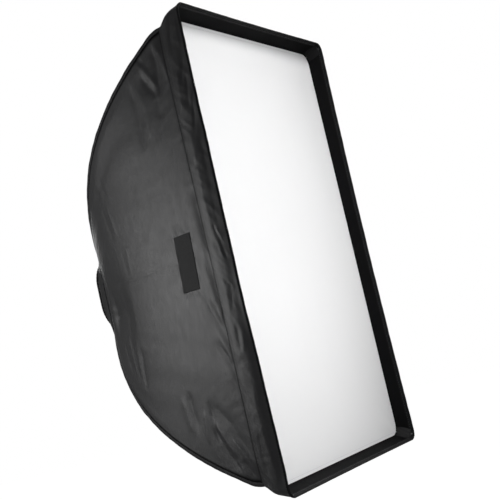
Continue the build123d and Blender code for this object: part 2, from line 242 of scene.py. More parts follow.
def tube_faces(rows, cols, base=0):
    """Closed sections in a row, capped at both ends."""
    faces = [tuple(f) for f in grid_faces(rows, cols, True, base)]
    faces.append(tuple(range(base, base + cols)))
    faces.append(tuple(base + (rows - 1) * cols + k for k in range(cols))[::-1])
    return faces


def sweep(name, sections, along, step, mat, sharp):
    """Solid through closed sections (rows, columns, 3); UVs are along and across it."""
    rows, cols = sections.shape[:2]
    uv = np.stack([np.repeat(along, cols), np.tile(np.arange(cols) * step, rows)], -1)
    ob = add_mesh(name, sections.reshape(-1, 3), tube_faces(rows, cols), uv, [mat], sharp=sharp)
    face_outwards(ob)
    return ob


def normals(points):
    """Unit normals of wrapped rows; they point out of a skin built from rear to front."""
    around = np.roll(points, -1, 1) - np.roll(points, 1, 1)
    n = np.cross(around, np.gradient(points, axis=0))
    return n / np.maximum(np.linalg.norm(n, axis=2, keepdims=True), 1e-12)


class Outline:
    """Points round a rectangle: right (up), top (to the left), left (down), bottom.

    "side" is the side's number and "place" runs -1 to 1 across it. "bunch" (0 to 1)
    gathers the points towards the corners.
    """

    def __init__(self, n_long, n_short, bunch=1.0):
        sides, places = [], []
        for k, n in enumerate((n_long, n_short, n_long, n_short)):
            u = -1 + 2 * np.arange(n) / n
            s = bunch * np.sin(np.pi * u / 2) + (1 - bunch) * u
            sides.append(np.full(n, k))
            places.append(s if k in (RIGHT, BOTTOM) else -s)
        self.side = np.concatenate(sides)
        self.place = np.concatenate(places)
        self.count = len(self.side)
        self.upright = (self.side == RIGHT) | (self.side == LEFT)
        self.sign = np.where((self.side == RIGHT) | (self.side == TOP), 1.0, -1.0)

    def rectangle(self, half_x, half_z):
        """x and z of the points on a square-cornered rectangle."""
        return (np.where(self.upright, self.sign, self.place) * half_x,
                np.where(self.upright, self.place, self.sign) * half_z)

    def rounded(self, half_x, half_z, radius):
        """x and z of the points on a rectangle with rounded corners."""
        x, z = self.rectangle(half_x, half_z)
        core_x, core_z = half_x - radius, half_z - radius
        past = np.where(self.upright, np.abs(z) - core_z, np.abs(x) - core_x)
        on_arc = past > 0
        angle = np.where(on_arc, np.pi / 4 * past / radius, 0)
        cos, sin = radius * np.cos(angle), radius * np.sin(angle)
        arc_x = core_x + np.where(self.upright, cos, sin)
        arc_z = core_z + np.where(self.upright, sin, cos)
        return (np.where(on_arc, np.sign(x) * arc_x, x),
                np.where(on_arc, np.sign(z) * arc_z, z))

    def across(self, points):
        """The coordinate of points that runs across their side."""
        return np.where(self.upright, points[..., 2], points[..., 0])

    def run(self, half_x, half_z, side_step):
        """Metres across each side, shifted by a step from side to side."""
        return (np.where(self.upright, self.place * half_z, self.place * half_x)
                + self.side * side_step)

    def outward(self, points):
        """Unit vectors straight out of each side."""
        out = np.zeros_like(points)
        out[..., 0] = np.where(self.upright, np.sign(points[..., 0]), 0)
        out[..., 2] = np.where(self.upright, 0, np.sign(points[..., 2]))
        return out


def pinch(points, amount=0.0052):
    """Draw the lip seam in at the four corners."""
    seam_spread, corner_spread = 0.016, 0.034
    behind = points[..., 1] - RIM_Y
    r = radius_at(np.clip(behind, 0, 0.47))
    dx, dz = np.abs(points[..., 0]) - r * CORNER_X, np.abs(points[..., 2]) - r * CORNER_Z
    from_corner = np.hypot(np.minimum(dx, 0), np.minimum(dz, 0))
    pull = amount * bell((behind - LIP_DEPTH) / seam_spread) * bell(from_corner / corner_spread)
    moved = points.copy()
    moved[..., 0] -= np.sign(points[..., 0]) * pull * 0.6
    moved[..., 2] -= np.sign(points[..., 2]) * pull * 0.8
    return moved


# =====================================================================
# materials: every UV map is in metres
# =====================================================================
def tint(base, gain, lift=0.0):
    return tuple(c * gain + lift for c in base)


class Shader:
    """A material with a Principled surface and short ways to add nodes to it."""

    def __init__(self, name):
        self.material = bpy.data.materials.new(name)
        self.material.use_nodes = True
        self.tree = self.material.node_tree
        self.tree.nodes.clear()
        self.output = self.node("ShaderNodeOutputMaterial")
        self.bsdf = self.node("ShaderNodeBsdfPrincipled")
        self.link(self.bsdf.outputs[0], self.output.inputs["Surface"])

    def node(self, kind, **settings):
        node = self.tree.nodes.new(kind)
        for key, value in settings.items():
            setattr(node, key, value)
        return node

    def link(self, source, socket):
        self.tree.links.new(source, socket)

    def feed(self, socket, value):
        """Link a socket, or give it a number or a colour."""
        if isinstance(value, bpy.types.NodeSocket):
            self.link(value, socket)
        else:
            socket.default_value = (*value, 1) if isinstance(value, tuple) else value

    def set(self, **values):
        """Feed inputs of the Principled node; an underscore stands for a space."""
        for key, value in values.items():
            self.feed(self.bsdf.inputs[key.replace("_", " ")], value)

    def uv(self):
        return self.node("ShaderNodeTexCoord").outputs["UV"]

    def object_place(self):
        return self.node("ShaderNodeTexCoord").outputs["Object"]

    def attribute(self, name):
        return self.node("ShaderNodeAttribute", attribute_name=name).outputs["Fac"]

    def noise(self, vector, scale, detail=3.0, rough=0.5, distort=0.0):
        node = self.node("ShaderNodeTexNoise")
        node.inputs["Scale"].default_value = scale
        node.inputs["Detail"].default_value = detail
        node.inputs["Roughness"].default_value = rough
        node.inputs["Distortion"].default_value = distort
        self.link(vector, node.inputs["Vector"])
        return node.outputs["Fac"]

    def stretched(self, vector, scale):
        node = self.node("ShaderNodeMapping")
        node.inputs["Scale"].default_value = scale
        self.link(vector, node.inputs["Vector"])
        return node.outputs["Vector"]

    def math(self, operation, *values):
        node = self.node("ShaderNodeMath", operation=operation)
        for socket, value in zip(node.inputs, values):
            self.feed(socket, value)
        return node.outputs[0]

    def scaled(self, value, by, plus=None):
        if plus is None:
            return self.math("MULTIPLY", value, by)
        return self.math("MULTIPLY_ADD", value, by, plus)

    def contrast(self, value, black, white):
        """Stretch a value so that it runs from black to white between two levels."""
        node = self.node("ShaderNodeValToRGB")
        for element, level, grey in zip(node.color_ramp.elements, (black, white), (0, 1)):
            element.position = level
            element.color = (grey, grey, grey, 1)
        self.link(value, node.inputs["Fac"])
        return node.outputs["Color"]

    def mix(self, amount, a, b):
        node = self.node("ShaderNodeMix", data_type="RGBA")
        self.feed(node.inputs["Factor"], amount)
        self.feed(node.inputs[6], a)
        self.feed(node.inputs[7], b)
        return node.outputs[2]

    def bump(self, height, distance, strength=1.0, normal=None):
        node = self.node("ShaderNodeBump")
        node.inputs["Distance"].default_value = distance
        node.inputs["Strength"].default_value = strength
        self.link(height, node.inputs["Height"])
        if normal is not None:
            self.link(normal, node.inputs["Normal"])
        return node.outputs["Normal"]

    def bevel(self, radius):
        node = self.node("ShaderNodeBevel", samples=4)
        node.inputs["Radius"].default_value = radius
        return node.outputs[0]

    def split(self, vector):
        node = self.node("ShaderNodeSeparateXYZ")
        self.link(vector, node.inputs[0])
        return node.outputs

    def wave(self, value, pitch):
        return self.math("SINE", self.scaled(value, by=2 * math.pi / pitch))

    def weave(self, uv, pitch):
        """Over-and-under of a plain weave, 0 to 1."""
        axes = self.split(uv)
        threads = self.math("MULTIPLY", self.wave(axes[0], pitch), self.wave(axes[1], pitch))
        return self.scaled(threads, by=0.5, plus=0.5)


def cloth(name, base, rough=0.5, pitch=0.0006, sheen=0.2, spec=0.4, crease_highlight=0.0, vary=0.15):
    """Woven cloth. With crease_highlight set, a painted highlight lightens it along the crests of
    creases, crinkles and gathers, and painted shade darkens it and cuts its specular in seams.
    """
    m = Shader(name)
    uv = m.uv()
    patches = m.noise(uv, scale=4.5, detail=3, rough=0.55)
    crinkles = m.noise(m.stretched(uv, scale=(1.0, 1.7, 1)), scale=38, detail=4, rough=0.6,
                       distort=0.4)
    grain = m.noise(uv, scale=900, detail=2, rough=0.6)
    weave = m.weave(uv, pitch)
    dark, light = tint(base, gain=1 - vary), tint(base, gain=1 + vary)
    colour = m.mix(m.contrast(patches, black=0.3, white=0.7), dark, light)
    colour = m.mix(0.35, colour, m.mix(crinkles, dark, light))
    colour = m.mix(m.scaled(weave, by=0.22), colour, tint(base, gain=0.72))
    if crease_highlight:
        # painted highlight: lighter colour along the crests of creases, crinkles and gathers
        colour = m.mix(m.scaled(m.attribute("crease_highlight"), by=crease_highlight), colour,
                       tint(base, gain=2.1, lift=0.01))
        # painted shade: darker colour and less specular along the lip seam, by the collar and
        # beside the rods
        shade = m.attribute("seam_shade")
        colour = m.mix(m.scaled(shade, by=0.9), colour, (0.0008, 0.0008, 0.0009))
        spec = m.scaled(shade, by=-spec * 0.92, plus=spec)
    roughness = m.scaled(crinkles, by=0.16, plus=rough - 0.08)
    roughness = m.scaled(grain, by=0.10, plus=m.math("SUBTRACT", roughness, 0.05))
    m.set(Base_Color=colour, Roughness=roughness, Specular_IOR_Level=spec, Sheen_Weight=sheen,
          Sheen_Roughness=0.45)
    crinkled = m.bump(crinkles, distance=0.0003, strength=0.8)
    m.set(Normal=m.bump(weave, distance=pitch * 0.16, strength=0.35, normal=crinkled))
    return m.material


def grosgrain(name, base, rib=0.0011, rough=0.55, spec=0.35, sheen=0.12):
    """Tape ribbed across its length."""
    m = Shader(name)
    uv = m.uv()
    ribs = m.scaled(m.wave(m.split(uv)[0], pitch=rib), by=0.5, plus=0.5)
    patches = m.noise(uv, scale=22)
    colour = m.mix(patches, tint(base, gain=0.75), tint(base, gain=1.35))
    colour = m.mix(m.scaled(ribs, by=0.35), colour, tint(base, gain=1.6))
    uneven = m.bump(patches, distance=0.0006, strength=0.5)
    m.set(Base_Color=colour, Roughness=m.scaled(patches, by=0.2, plus=rough - 0.1),
          Specular_IOR_Level=spec, Sheen_Weight=sheen, Sheen_Roughness=0.4,
          Normal=m.bump(ribs, distance=0.0002, strength=0.6, normal=uneven))
    return m.material


def silver_cloth():
    m = Shader("silver_lining")
    uv = m.uv()
    patches = m.noise(uv, scale=6)
    crinkles = m.noise(uv, scale=55, detail=4, rough=0.62, distort=0.5)
    weave = m.weave(uv, pitch=0.0009)
    colour = m.mix(patches, (0.60, 0.60, 0.62), (0.74, 0.74, 0.76))
    colour = m.mix(m.scaled(weave, by=0.3), colour, (0.48, 0.48, 0.5))
    crinkled = m.bump(crinkles, distance=0.0008, strength=0.8)
    m.set(Base_Color=colour, Roughness=m.scaled(crinkles, by=0.22, plus=0.26), Metallic=0.82,
          Normal=m.bump(weave, distance=0.00012, strength=0.5, normal=crinkled))
    return m.material


def white_cloth(name, base, through):
    """White cloth that lets a share ("through") of the light pass."""
    m = Shader(name)
    uv = m.uv()
    patches = m.noise(uv, scale=3.2, detail=2)
    crinkles = m.noise(uv, scale=30, rough=0.55)
    weave = m.weave(uv, pitch=0.0007)
    colour = m.mix(patches, tint(base, gain=0.975), base)
    colour = m.mix(m.scaled(weave, by=0.12), colour, tint(base, gain=0.9))
    crinkled = m.bump(crinkles, distance=0.0003, strength=0.35)
    normal = m.bump(weave, distance=0.0001, strength=0.4, normal=crinkled)
    m.set(Base_Color=colour, Roughness=m.scaled(crinkles, by=0.15, plus=0.62),
          Specular_IOR_Level=0.25, Sheen_Weight=0.15, Sheen_Roughness=0.5, Normal=normal)
    translucent = m.node("ShaderNodeBsdfTranslucent")
    m.link(colour, translucent.inputs["Color"])
    m.link(normal, translucent.inputs["Normal"])
    both = m.node("ShaderNodeMixShader")
    both.inputs[0].default_value = through
    m.link(m.bsdf.outputs[0], both.inputs[1])
    m.link(translucent.outputs[0], both.inputs[2])
    m.link(both.outputs[0], m.output.inputs["Surface"])
    return m.material


def hook_and_loop(name, base, scale):
    m = Shader(name)
    uv = m.uv()
    pile = m.noise(uv, scale=scale, detail=5, rough=0.75, distort=0.6)
    patches = m.noise(uv, scale=scale * 0.14)
    tufts = m.node("ShaderNodeTexVoronoi")
    tufts.inputs["Scale"].default_value = scale * 0.6
    m.link(uv, tufts.inputs["Vector"])
    colour = m.mix(pile, tint(base, gain=0.5), tint(base, gain=1.9))
    colour = m.mix(m.scaled(patches, by=0.4), colour, base)
    height = m.math("ADD", pile, m.scaled(tufts.outputs["Distance"], by=0.8))
    m.set(Base_Color=colour, Roughness=0.92, Specular_IOR_Level=0.15, Sheen_Weight=0.5,
          Sheen_Roughness=0.6, Normal=m.bump(height, distance=0.0008, strength=1.0))
    return m.material


def metal(name, base, rough, metallic=1.0, grain=900.0, wear=0.35, stretch=None,
          bevel=0.0004, relief=0.00005):
    """Metal with fine grain, lightened where its edges are worn."""
    m = Shader(name)
    spot = m.object_place()
    grain_spot = m.stretched(spot, scale=stretch) if stretch else spot
    fine = m.noise(grain_spot, scale=grain, rough=0.6)
    patches = m.noise(spot, scale=30, detail=4, rough=0.6)
    rounded = m.bevel(bevel)
    dot = m.node("ShaderNodeVectorMath", operation="DOT_PRODUCT")
    m.link(rounded, dot.inputs[0])
    m.link(m.node("ShaderNodeNewGeometry").outputs["Normal"], dot.inputs[1])
    edge = m.scaled(m.math("SUBTRACT", 1.0, dot.outputs["Value"]), by=5.0)
    worn = m.scaled(m.math("MULTIPLY", edge, patches), by=wear)
    colour = m.mix(patches, tint(base, gain=0.82), tint(base, gain=1.15))
    colour = m.mix(m.math("MINIMUM", worn, 1.0), colour,
                   tuple(min(1, c) for c in tint(base, gain=1.6, lift=0.12)))
    m.set(Base_Color=colour, Roughness=m.scaled(fine, by=0.25, plus=rough - 0.12),
          Metallic=metallic,
          Normal=m.bump(fine, distance=relief, strength=0.5, normal=rounded))
    return m.material


def plastic(name, base, rough=0.45):
    m = Shader(name)
    spot = m.object_place()
    fine = m.noise(spot, scale=1500, detail=2)
    patches = m.noise(spot, scale=60)
    m.set(Base_Color=m.mix(patches, tint(base, gain=0.8), tint(base, gain=1.25)),
          Roughness=m.scaled(patches, by=0.15, plus=rough - 0.07), Specular_IOR_Level=0.5,
          Normal=m.bump(fine, distance=0.00006, strength=0.6, normal=m.bevel(0.0004)))
    return m.material


def patch_cloth():
    """Satin black woven cloth."""
    m = Shader("woven_patch")
    uv = m.uv()
    weave = m.weave(uv, pitch=0.0007)
    fine = m.noise(uv, scale=600, detail=2)
    colour = m.mix(fine, (0.006, 0.006, 0.0065), (0.013, 0.013, 0.014))
    colour = m.mix(m.scaled(weave, by=0.25), colour, (0.020, 0.020, 0.021))
    m.set(Base_Color=colour, Roughness=m.scaled(fine, by=0.2, plus=0.5),
          Specular_IOR_Level=0.3, Sheen_Weight=0.05,
          Normal=m.bump(weave, distance=0.00012, strength=0.6))
    return m.material


NYLON = cloth("outer_nylon", (0.0190, 0.0190, 0.0206), rough=0.44, spec=0.50, sheen=0.04,
              crease_highlight=0.18, vary=0.08)
LIP_CLOTH = cloth("lip_nylon", (0.0165, 0.0165, 0.0179), rough=0.43, spec=0.42, sheen=0.04,
                  crease_highlight=0.25, vary=0.12)
INNER_BLACK = cloth("lip_inner_cloth", (0.0036, 0.0036, 0.0040), rough=0.75, spec=0.07,
                    sheen=0.0, vary=0.25)
COLLAR_CLOTH = cloth("collar_cloth", (0.0120, 0.0120, 0.0130), rough=0.46, spec=0.42,
                     sheen=0.03, crease_highlight=0.2, vary=0.12)
POCKET_CLOTH = cloth("pocket_cloth", (0.006, 0.006, 0.0065), rough=0.65, spec=0.2, sheen=0.02,
                     pitch=0.0009, vary=0.2)
TAPE = grosgrain("binding_tape", (0.0160, 0.0160, 0.0172), spec=0.30, sheen=0.03)
RIM_TAPE = grosgrain("rim_tape", (0.0048, 0.0048, 0.0052), rough=0.7, spec=0.12, sheen=0.02)
ELASTIC = grosgrain("elastic_webbing", (0.0065, 0.0065, 0.0070), rib=0.0018, rough=0.62,
                    spec=0.2, sheen=0.03)
WHITE_TAPE = grosgrain("white_hem_tape", (0.72, 0.72, 0.73), rib=0.0014, rough=0.6)
THREAD = cloth("sewing_thread", (0.020, 0.020, 0.022), pitch=0.0004, sheen=0.1)
WHITE_THREAD = cloth("white_thread", (0.6, 0.6, 0.61), pitch=0.0004, sheen=0.1)
SILVER = silver_cloth()
DIFFUSION = white_cloth("diffusion_cloth", (0.87, 0.87, 0.875), through=0.12)
BAFFLE_WHITE = white_cloth("baffle_cloth_white", (0.82, 0.825, 0.84), through=0.2)
LOOP_PILE = hook_and_loop("loop_pile", (0.016, 0.016, 0.017), scale=900)
HOOK_TAPE = hook_and_loop("hook_tape", (0.022, 0.022, 0.023), scale=1300)
CAST_BLACK = metal("cast_black", (0.05, 0.05, 0.053), rough=0.48, metallic=0.55, grain=260,
                   wear=0.6, relief=0.00025)
TURNED_ALUMINIUM = metal("turned_aluminium", (0.76, 0.76, 0.78), rough=0.30, grain=500,
                         wear=0.25, stretch=(1, 9, 1))
ZINC = metal("zinc_steel", (0.62, 0.62, 0.64), rough=0.30, grain=700, wear=0.3, bevel=0.0002)
ROD_STEEL = metal("spring_steel", (0.50, 0.50, 0.52), rough=0.24, grain=300, wear=0.2,
                  bevel=0.0002)
BLACK_PLASTIC = plastic("moulded_black", (0.022, 0.022, 0.023))
NYLON_PAD = plastic("natural_nylon", (0.74, 0.72, 0.66), rough=0.5)
PATCH_CLOTH = patch_cloth()

# =====================================================================
# drawn folds
# =====================================================================
# A fold is (half width, height, points) in mm on the laid-out cloth; a valley's height
# is negative. Points are (across, back from the lip seam) on the panel.
LEFT_PANEL_FOLDS = [
    (9, -3.4, [(405, 38), (376, 37), (346, 39), (317, 43), (296, 47)]),
    (5, 2.0, [(380, 90), (361, 72), (341, 57), (318, 44)]),
    (7, -2.4, [(360, 90), (330, 74), (302, 50)]),
    (5, 1.9, [(408, 31), (375, 21), (345, 11), (312, 4)]),
    (3, 1.0, [(396, 21), (364, 10), (334, 4)]),
    (5, -2.6, [(415, 8), (396, 5), (374, 2)]),
    (9, -1.7, [(358, 136), (313, 126), (273, 124), (218, 134)]),
    (13, 1.3, [(352, 116), (296, 101), (228, 104)]),
    (10, -1.1, [(308, 54), (262, 62)]),
    (3.5, -1.3, [(392, 88), (370, 73)]),
    (6, 0.7, [(222, 370), (170, 341)]),
    (5, -0.6, [(219, 343), (170, 318)]),
    (5, 0.9, [(165, 340), (88, 314)]),
    (6, -0.8, [(162, 364), (84, 342)]),
    (5, 0.6, [(105, 418), (45, 394)]),
    (4.5, 0.5, [(72, 285), (4, 290)]),
    (5, -0.4, [(66, 313), (3, 304)]),
    (3, -0.7, [(11, 450), (2, 329), (1, 256), (2, 196), (4, 112)]),
    (44, -9.0, [(-52, 490), (-64, 310)]),
    (6, 1.3, [(-96, 392), (-133, 381), (-190, 362)]),
    (6, -1.3, [(-108, 430), (-180, 392)]),
    (6, 0.9, [(-108, 341), (-198, 341)]),
    (7, -1.1, [(-128, 318), (-222, 331)]),
    (7, -1.6, [(-228, 168), (-271, 163), (-318, 154)]),
    (8, 1.3, [(-238, 193), (-281, 184), (-322, 174)]),
    (6, -1.8, [(-255, 107), (-293, 102), (-342, 99)]),
    (5, 1.3, [(-272, 126), (-340, 128)]),
    (6, 2.0, [(-288, 106), (-332, 79), (-378, 48)]),
    (8, -2.4, [(-306, 110), (-353, 82), (-396, 46)]),
    (10, -2.0, [(-256, 110), (-305, 58), (-359, 27), (-408, 10)]),
    (5, 1.8, [(-326, 62), (-369, 29), (-410, 7)]),
    (4, -1.7, [(-368, 42), (-410, 16)]),
    (4, 1.3, [(-366, 62), (-408, 30)]),
    (6, -1.7, [(-148, 46), (-189, 21), (-250, 2)]),
    (6, 1.3, [(-146, 31), (-195, 9), (-230, 2)]),
    (7, -1.7, [(-68, 52), (-115, 29), (-175, 4)]),
    (6, 1.3, [(-72, 28), (-137, 6)]),
    (6, -1.1, [(140, 10), (92, 11), (34, 9), (-18, 3)]),
    (9, 1.1, [(118, 30), (39, 29), (-22, 23)]),
    (6, -1.2, [(14, 17), (-39, 12), (-106, 5)]),
    (7, 1.1, [(0, 35), (-55, 25), (-103, 14)]),
]

# The same for the lip, with points (across, forward of the lip seam).
LEFT_LIP_FOLDS = [
    (6, -1.0, [(232, 44), (152, 40), (88, 38), (24, 38), (-36, 42)]),
    (8, 2.0, [(240, 20), (157, 18), (102, 16), (30, 18)]),
    (5, -2.2, [(352, 42), (319, 32), (306, 29)]),
    (5, -2.4, [(326, 43), (290, 36), (258, 29)]),
    (5, -2.0, [(278, 44), (224, 35), (214, 32)]),
    (5, 1.4, [(344, 26), (300, 16), (262, 15)]),
    (4, 1.2, [(302, 46), (262, 41), (236, 30)]),
    (7, -2.4, [(446, 32), (410, 25), (370, 20)]),
    (5, 1.4, [(440, 48), (400, 43), (360, 40)]),
    (4, -1.4, [(50, 26), (9, 37)]),
    (3, 1.2, [(42, 33), (14, 42)]),
    (3.5, -1.5, [(20, 32), (-26, 42)]),
    (3, 1.1, [(8, 30), (-18, 36)]),
    (5, -1.9, [(-138, 26), (-192, 21)]),
    (5, 1.5, [(-148, 37), (-192, 30)]),
    (8, 1.8, [(-238, 30), (-325, 27), (-382, 33), (-430, 42)]),
    (6, -2.4, [(-335, 18), (-387, 18), (-425, 21)]),
    (5, 1.1, [(-40, 16), (-90, 20), (-132, 16)]),
    (5, -1.2, [(-58, 34), (-110, 30)]),
]


def random_panel_folds(seed, half, deep, strength):
    """Folds in mm for a panel that isn't drawn by hand."""
    rng = np.random.RandomState(seed)
    folds = []
    # fans at the two front corners
    for end in (1, -1):
        for i in range(6):
            angle = math.radians(rng.uniform(12, 60)) if i else math.radians(20)
            start = rng.uniform(14, 42)
            length = rng.uniform(60, 150) * (1.0 if i % 2 else 0.8)
            bend = rng.uniform(-0.35, 0.35)
            points = []
            for t in (0, 0.33, 0.66, 1):
                reach, turn = start + length * t, angle + bend * t
                points.append((end * (half - reach * math.cos(turn)),
                               4 + reach * math.sin(turn)))
            width = rng.uniform(4.5, 9)
            height = rng.uniform(1.2, 2.6) * (1 if i % 2 else -1) * strength
            gap = width * 1.5
            folds.append((width, height, points))
            folds.append((width * 0.8, -height * 0.6,
                          [(x - end * gap * 0.3, y + gap) for x, y in points[:-1]]))
    # slanting folds by the lip seam
    for _ in range(5):
        x = rng.uniform(-0.75, 0.75) * half
        slope = rng.uniform(0.25, 0.6) * (1 if rng.rand() < 0.5 else -1)
        front, rear = rng.uniform(2, 10), rng.uniform(25, 55)
        middle = (front + rear) / 2
        points = [(x, front), (x + (middle - front) / slope, middle - 5),
                  (x + (rear - front) / slope, rear)]
        height = rng.uniform(1.0, 1.9) * strength
        folds.append((rng.uniform(5, 8), -height, points))
        folds.append((rng.uniform(5, 7), height * 0.7, [(x, y + 13) for x, y in points]))
    # streaks at the hub
    for i in range(7):
        x = rng.uniform(-0.42, 0.42) * half
        rear = deep - rng.uniform(5, 60)
        length = rng.uniform(55, 110)
        folds.append((rng.uniform(4, 6.5),
                      rng.uniform(0.7, 1.5) * (1 if i % 2 else -1) * strength,
                      [(x * 0.8, rear), (x * 1.35, rear - length)]))
    return folds


def random_lip_folds(seed, half):
    """Overlapping pairs of folds in mm along one side of the lip."""
    rng = np.random.RandomState(seed)
    folds = []
    x = half - 20
    while x > -half + 30:
        length = rng.uniform(45, 120)
        start = rng.uniform(14, 44)
        end = start + rng.uniform(-16, 16)
        height = rng.uniform(1.2, 2.9) * (1 if rng.rand() < 0.45 else -1)
        folds.append((rng.uniform(4, 7.5), height,
                      [(x, start),
                       (x - length / 2, (start + end) / 2 + rng.uniform(-3, 3)),
                       (x - length, end)]))
        folds.append((rng.uniform(3.5, 6), -height * 0.6,
                      [(x - 8, start - 11), (x - length * 0.8, end - 11)]))
        x -= length * rng.uniform(0.45, 0.8)
    return folds


def press(across, back, folds, gain, widen, shift):
    """Height of a set of folds at points (across, back), all in metres.

    "gain" scales heights under 4 mm, "widen" scales widths and "shift" moves folds
    narrower than 20 mm back by that share of their width.
    """
    relief = np.zeros_like(across)
    for width, height, points in folds:
        width = width * 0.001 * widen
        height = height * 0.001 * (gain if abs(height) < 4 else 1.0)
        line = np.array(points, float) * 0.001
        if width < 0.02:
            line[:, 1] += shift * width
        low, high = line.min(0) - 3.2 * width, line.max(0) + 3.2 * width
        near = (across > low[0]) & (across < high[0]) & (back > low[1]) & (back < high[1])
        if not near.any():
            continue
        x, y = across[near], back[near]
        # a slight wander keeps the line from looking ruled
        x = x + 0.0020 * noise(y / 0.035 + height * 900, x / 0.05, seed=7)
        y = y + 0.0020 * noise(x / 0.035 + height * 700, y / 0.05, seed=8)
        lengths = np.linalg.norm(np.diff(line, axis=0), axis=1)
        run = np.concatenate([[0], np.cumsum(lengths)])
        nearest = np.full(x.shape, 1e9)
        along = np.zeros(x.shape)
        for i, length in enumerate(lengths):
            way = (line[i + 1] - line[i]) / max(length, 1e-9)
            dx, dy = x - line[i, 0], y - line[i, 1]
            q = np.clip(dx * way[0] + dy * way[1], 0, length)
            distance = np.hypot(dx - q * way[0], dy - q * way[1])
            along = np.where(distance < nearest, (run[i] + q) / run[-1], along)
            nearest = np.minimum(distance, nearest)
        # wider in the middle, fading out at both ends
        spread = width * (0.75 + 0.5 * np.sin(np.pi * np.clip(along, 0, 1)))
        ends = smooth((along + 0.02) / 0.28) * smooth((1.02 - along) / 0.34)
        relief[near] += height * ends * np.exp(-(nearest / spread) ** 1.5)
    return relief


# =====================================================================
# outer skin
# =====================================================================
SKIN_LINE = Outline(250, 180, bunch=0.6)
SKIN_ROWS = 176
SKIN_CORNER = 0.0045             # corner radius
SKIN_THICKNESS = 0.0011


def rounded_distance(x, z, half_x, half_z, radius):
    """Signed distance from a rounded rectangle."""
    dx, dz = np.abs(x) - (half_x - radius), np.abs(z) - (half_z - radius)
    return (np.hypot(np.maximum(dx, 0), np.maximum(dz, 0))
            + np.minimum(np.maximum(dx, dz), 0) - radius)


def collar_foot(outline, grow):
    """Where lines from hub to lip cross the collar's outline: place on the seam curve."""
    low, high = np.zeros(outline.count), np.ones(outline.count)
    for _ in range(40):
        middle = (low + high) / 2
        r = np.interp(middle, SEAM_T, SEAM_R)
        x, z = outline.rectangle(r * CORNER_X, r * CORNER_Z)
        inside = rounded_distance(x, z, COLLAR_HALF_X + grow, COLLAR_HALF_Z + grow,
                                  COLLAR_RADIUS + grow) < 0
        low = np.where(inside, middle, low)
        high = np.where(inside, high, middle)
    return (low + high) / 2


def skin_grid():
    """Plain surface from the collar to 1 mm under the lip, and each point's "back"."""
    hub_arc = np.interp(collar_foot(SKIN_LINE, 0.0), SEAM_T, SEAM_ARC)
    front_arc = arc_at(LIP_DEPTH - 0.001)
    arc = hub_arc + (front_arc - hub_arc) * np.linspace(0, 1, SKIN_ROWS)[:, None]
    r, behind = seam_by_arc(arc)
    x, z = SKIN_LINE.rounded(r * CORNER_X, r * CORNER_Z, SKIN_CORNER)
    return np.stack([x, behind + RIM_Y, z], -1), front_arc - arc


def panel_folds(side, deep):
    """Folds in mm for one panel, whose hub end lies "deep" metres back."""
    if side == LEFT:
        return LEFT_PANEL_FOLDS
    half = (LENGTH if side == RIGHT else WIDTH) * 500 * 0.93
    return random_panel_folds(11 + side, half, deep * 1000 * 0.86,
                              strength=1.0 if side == RIGHT else 0.8)


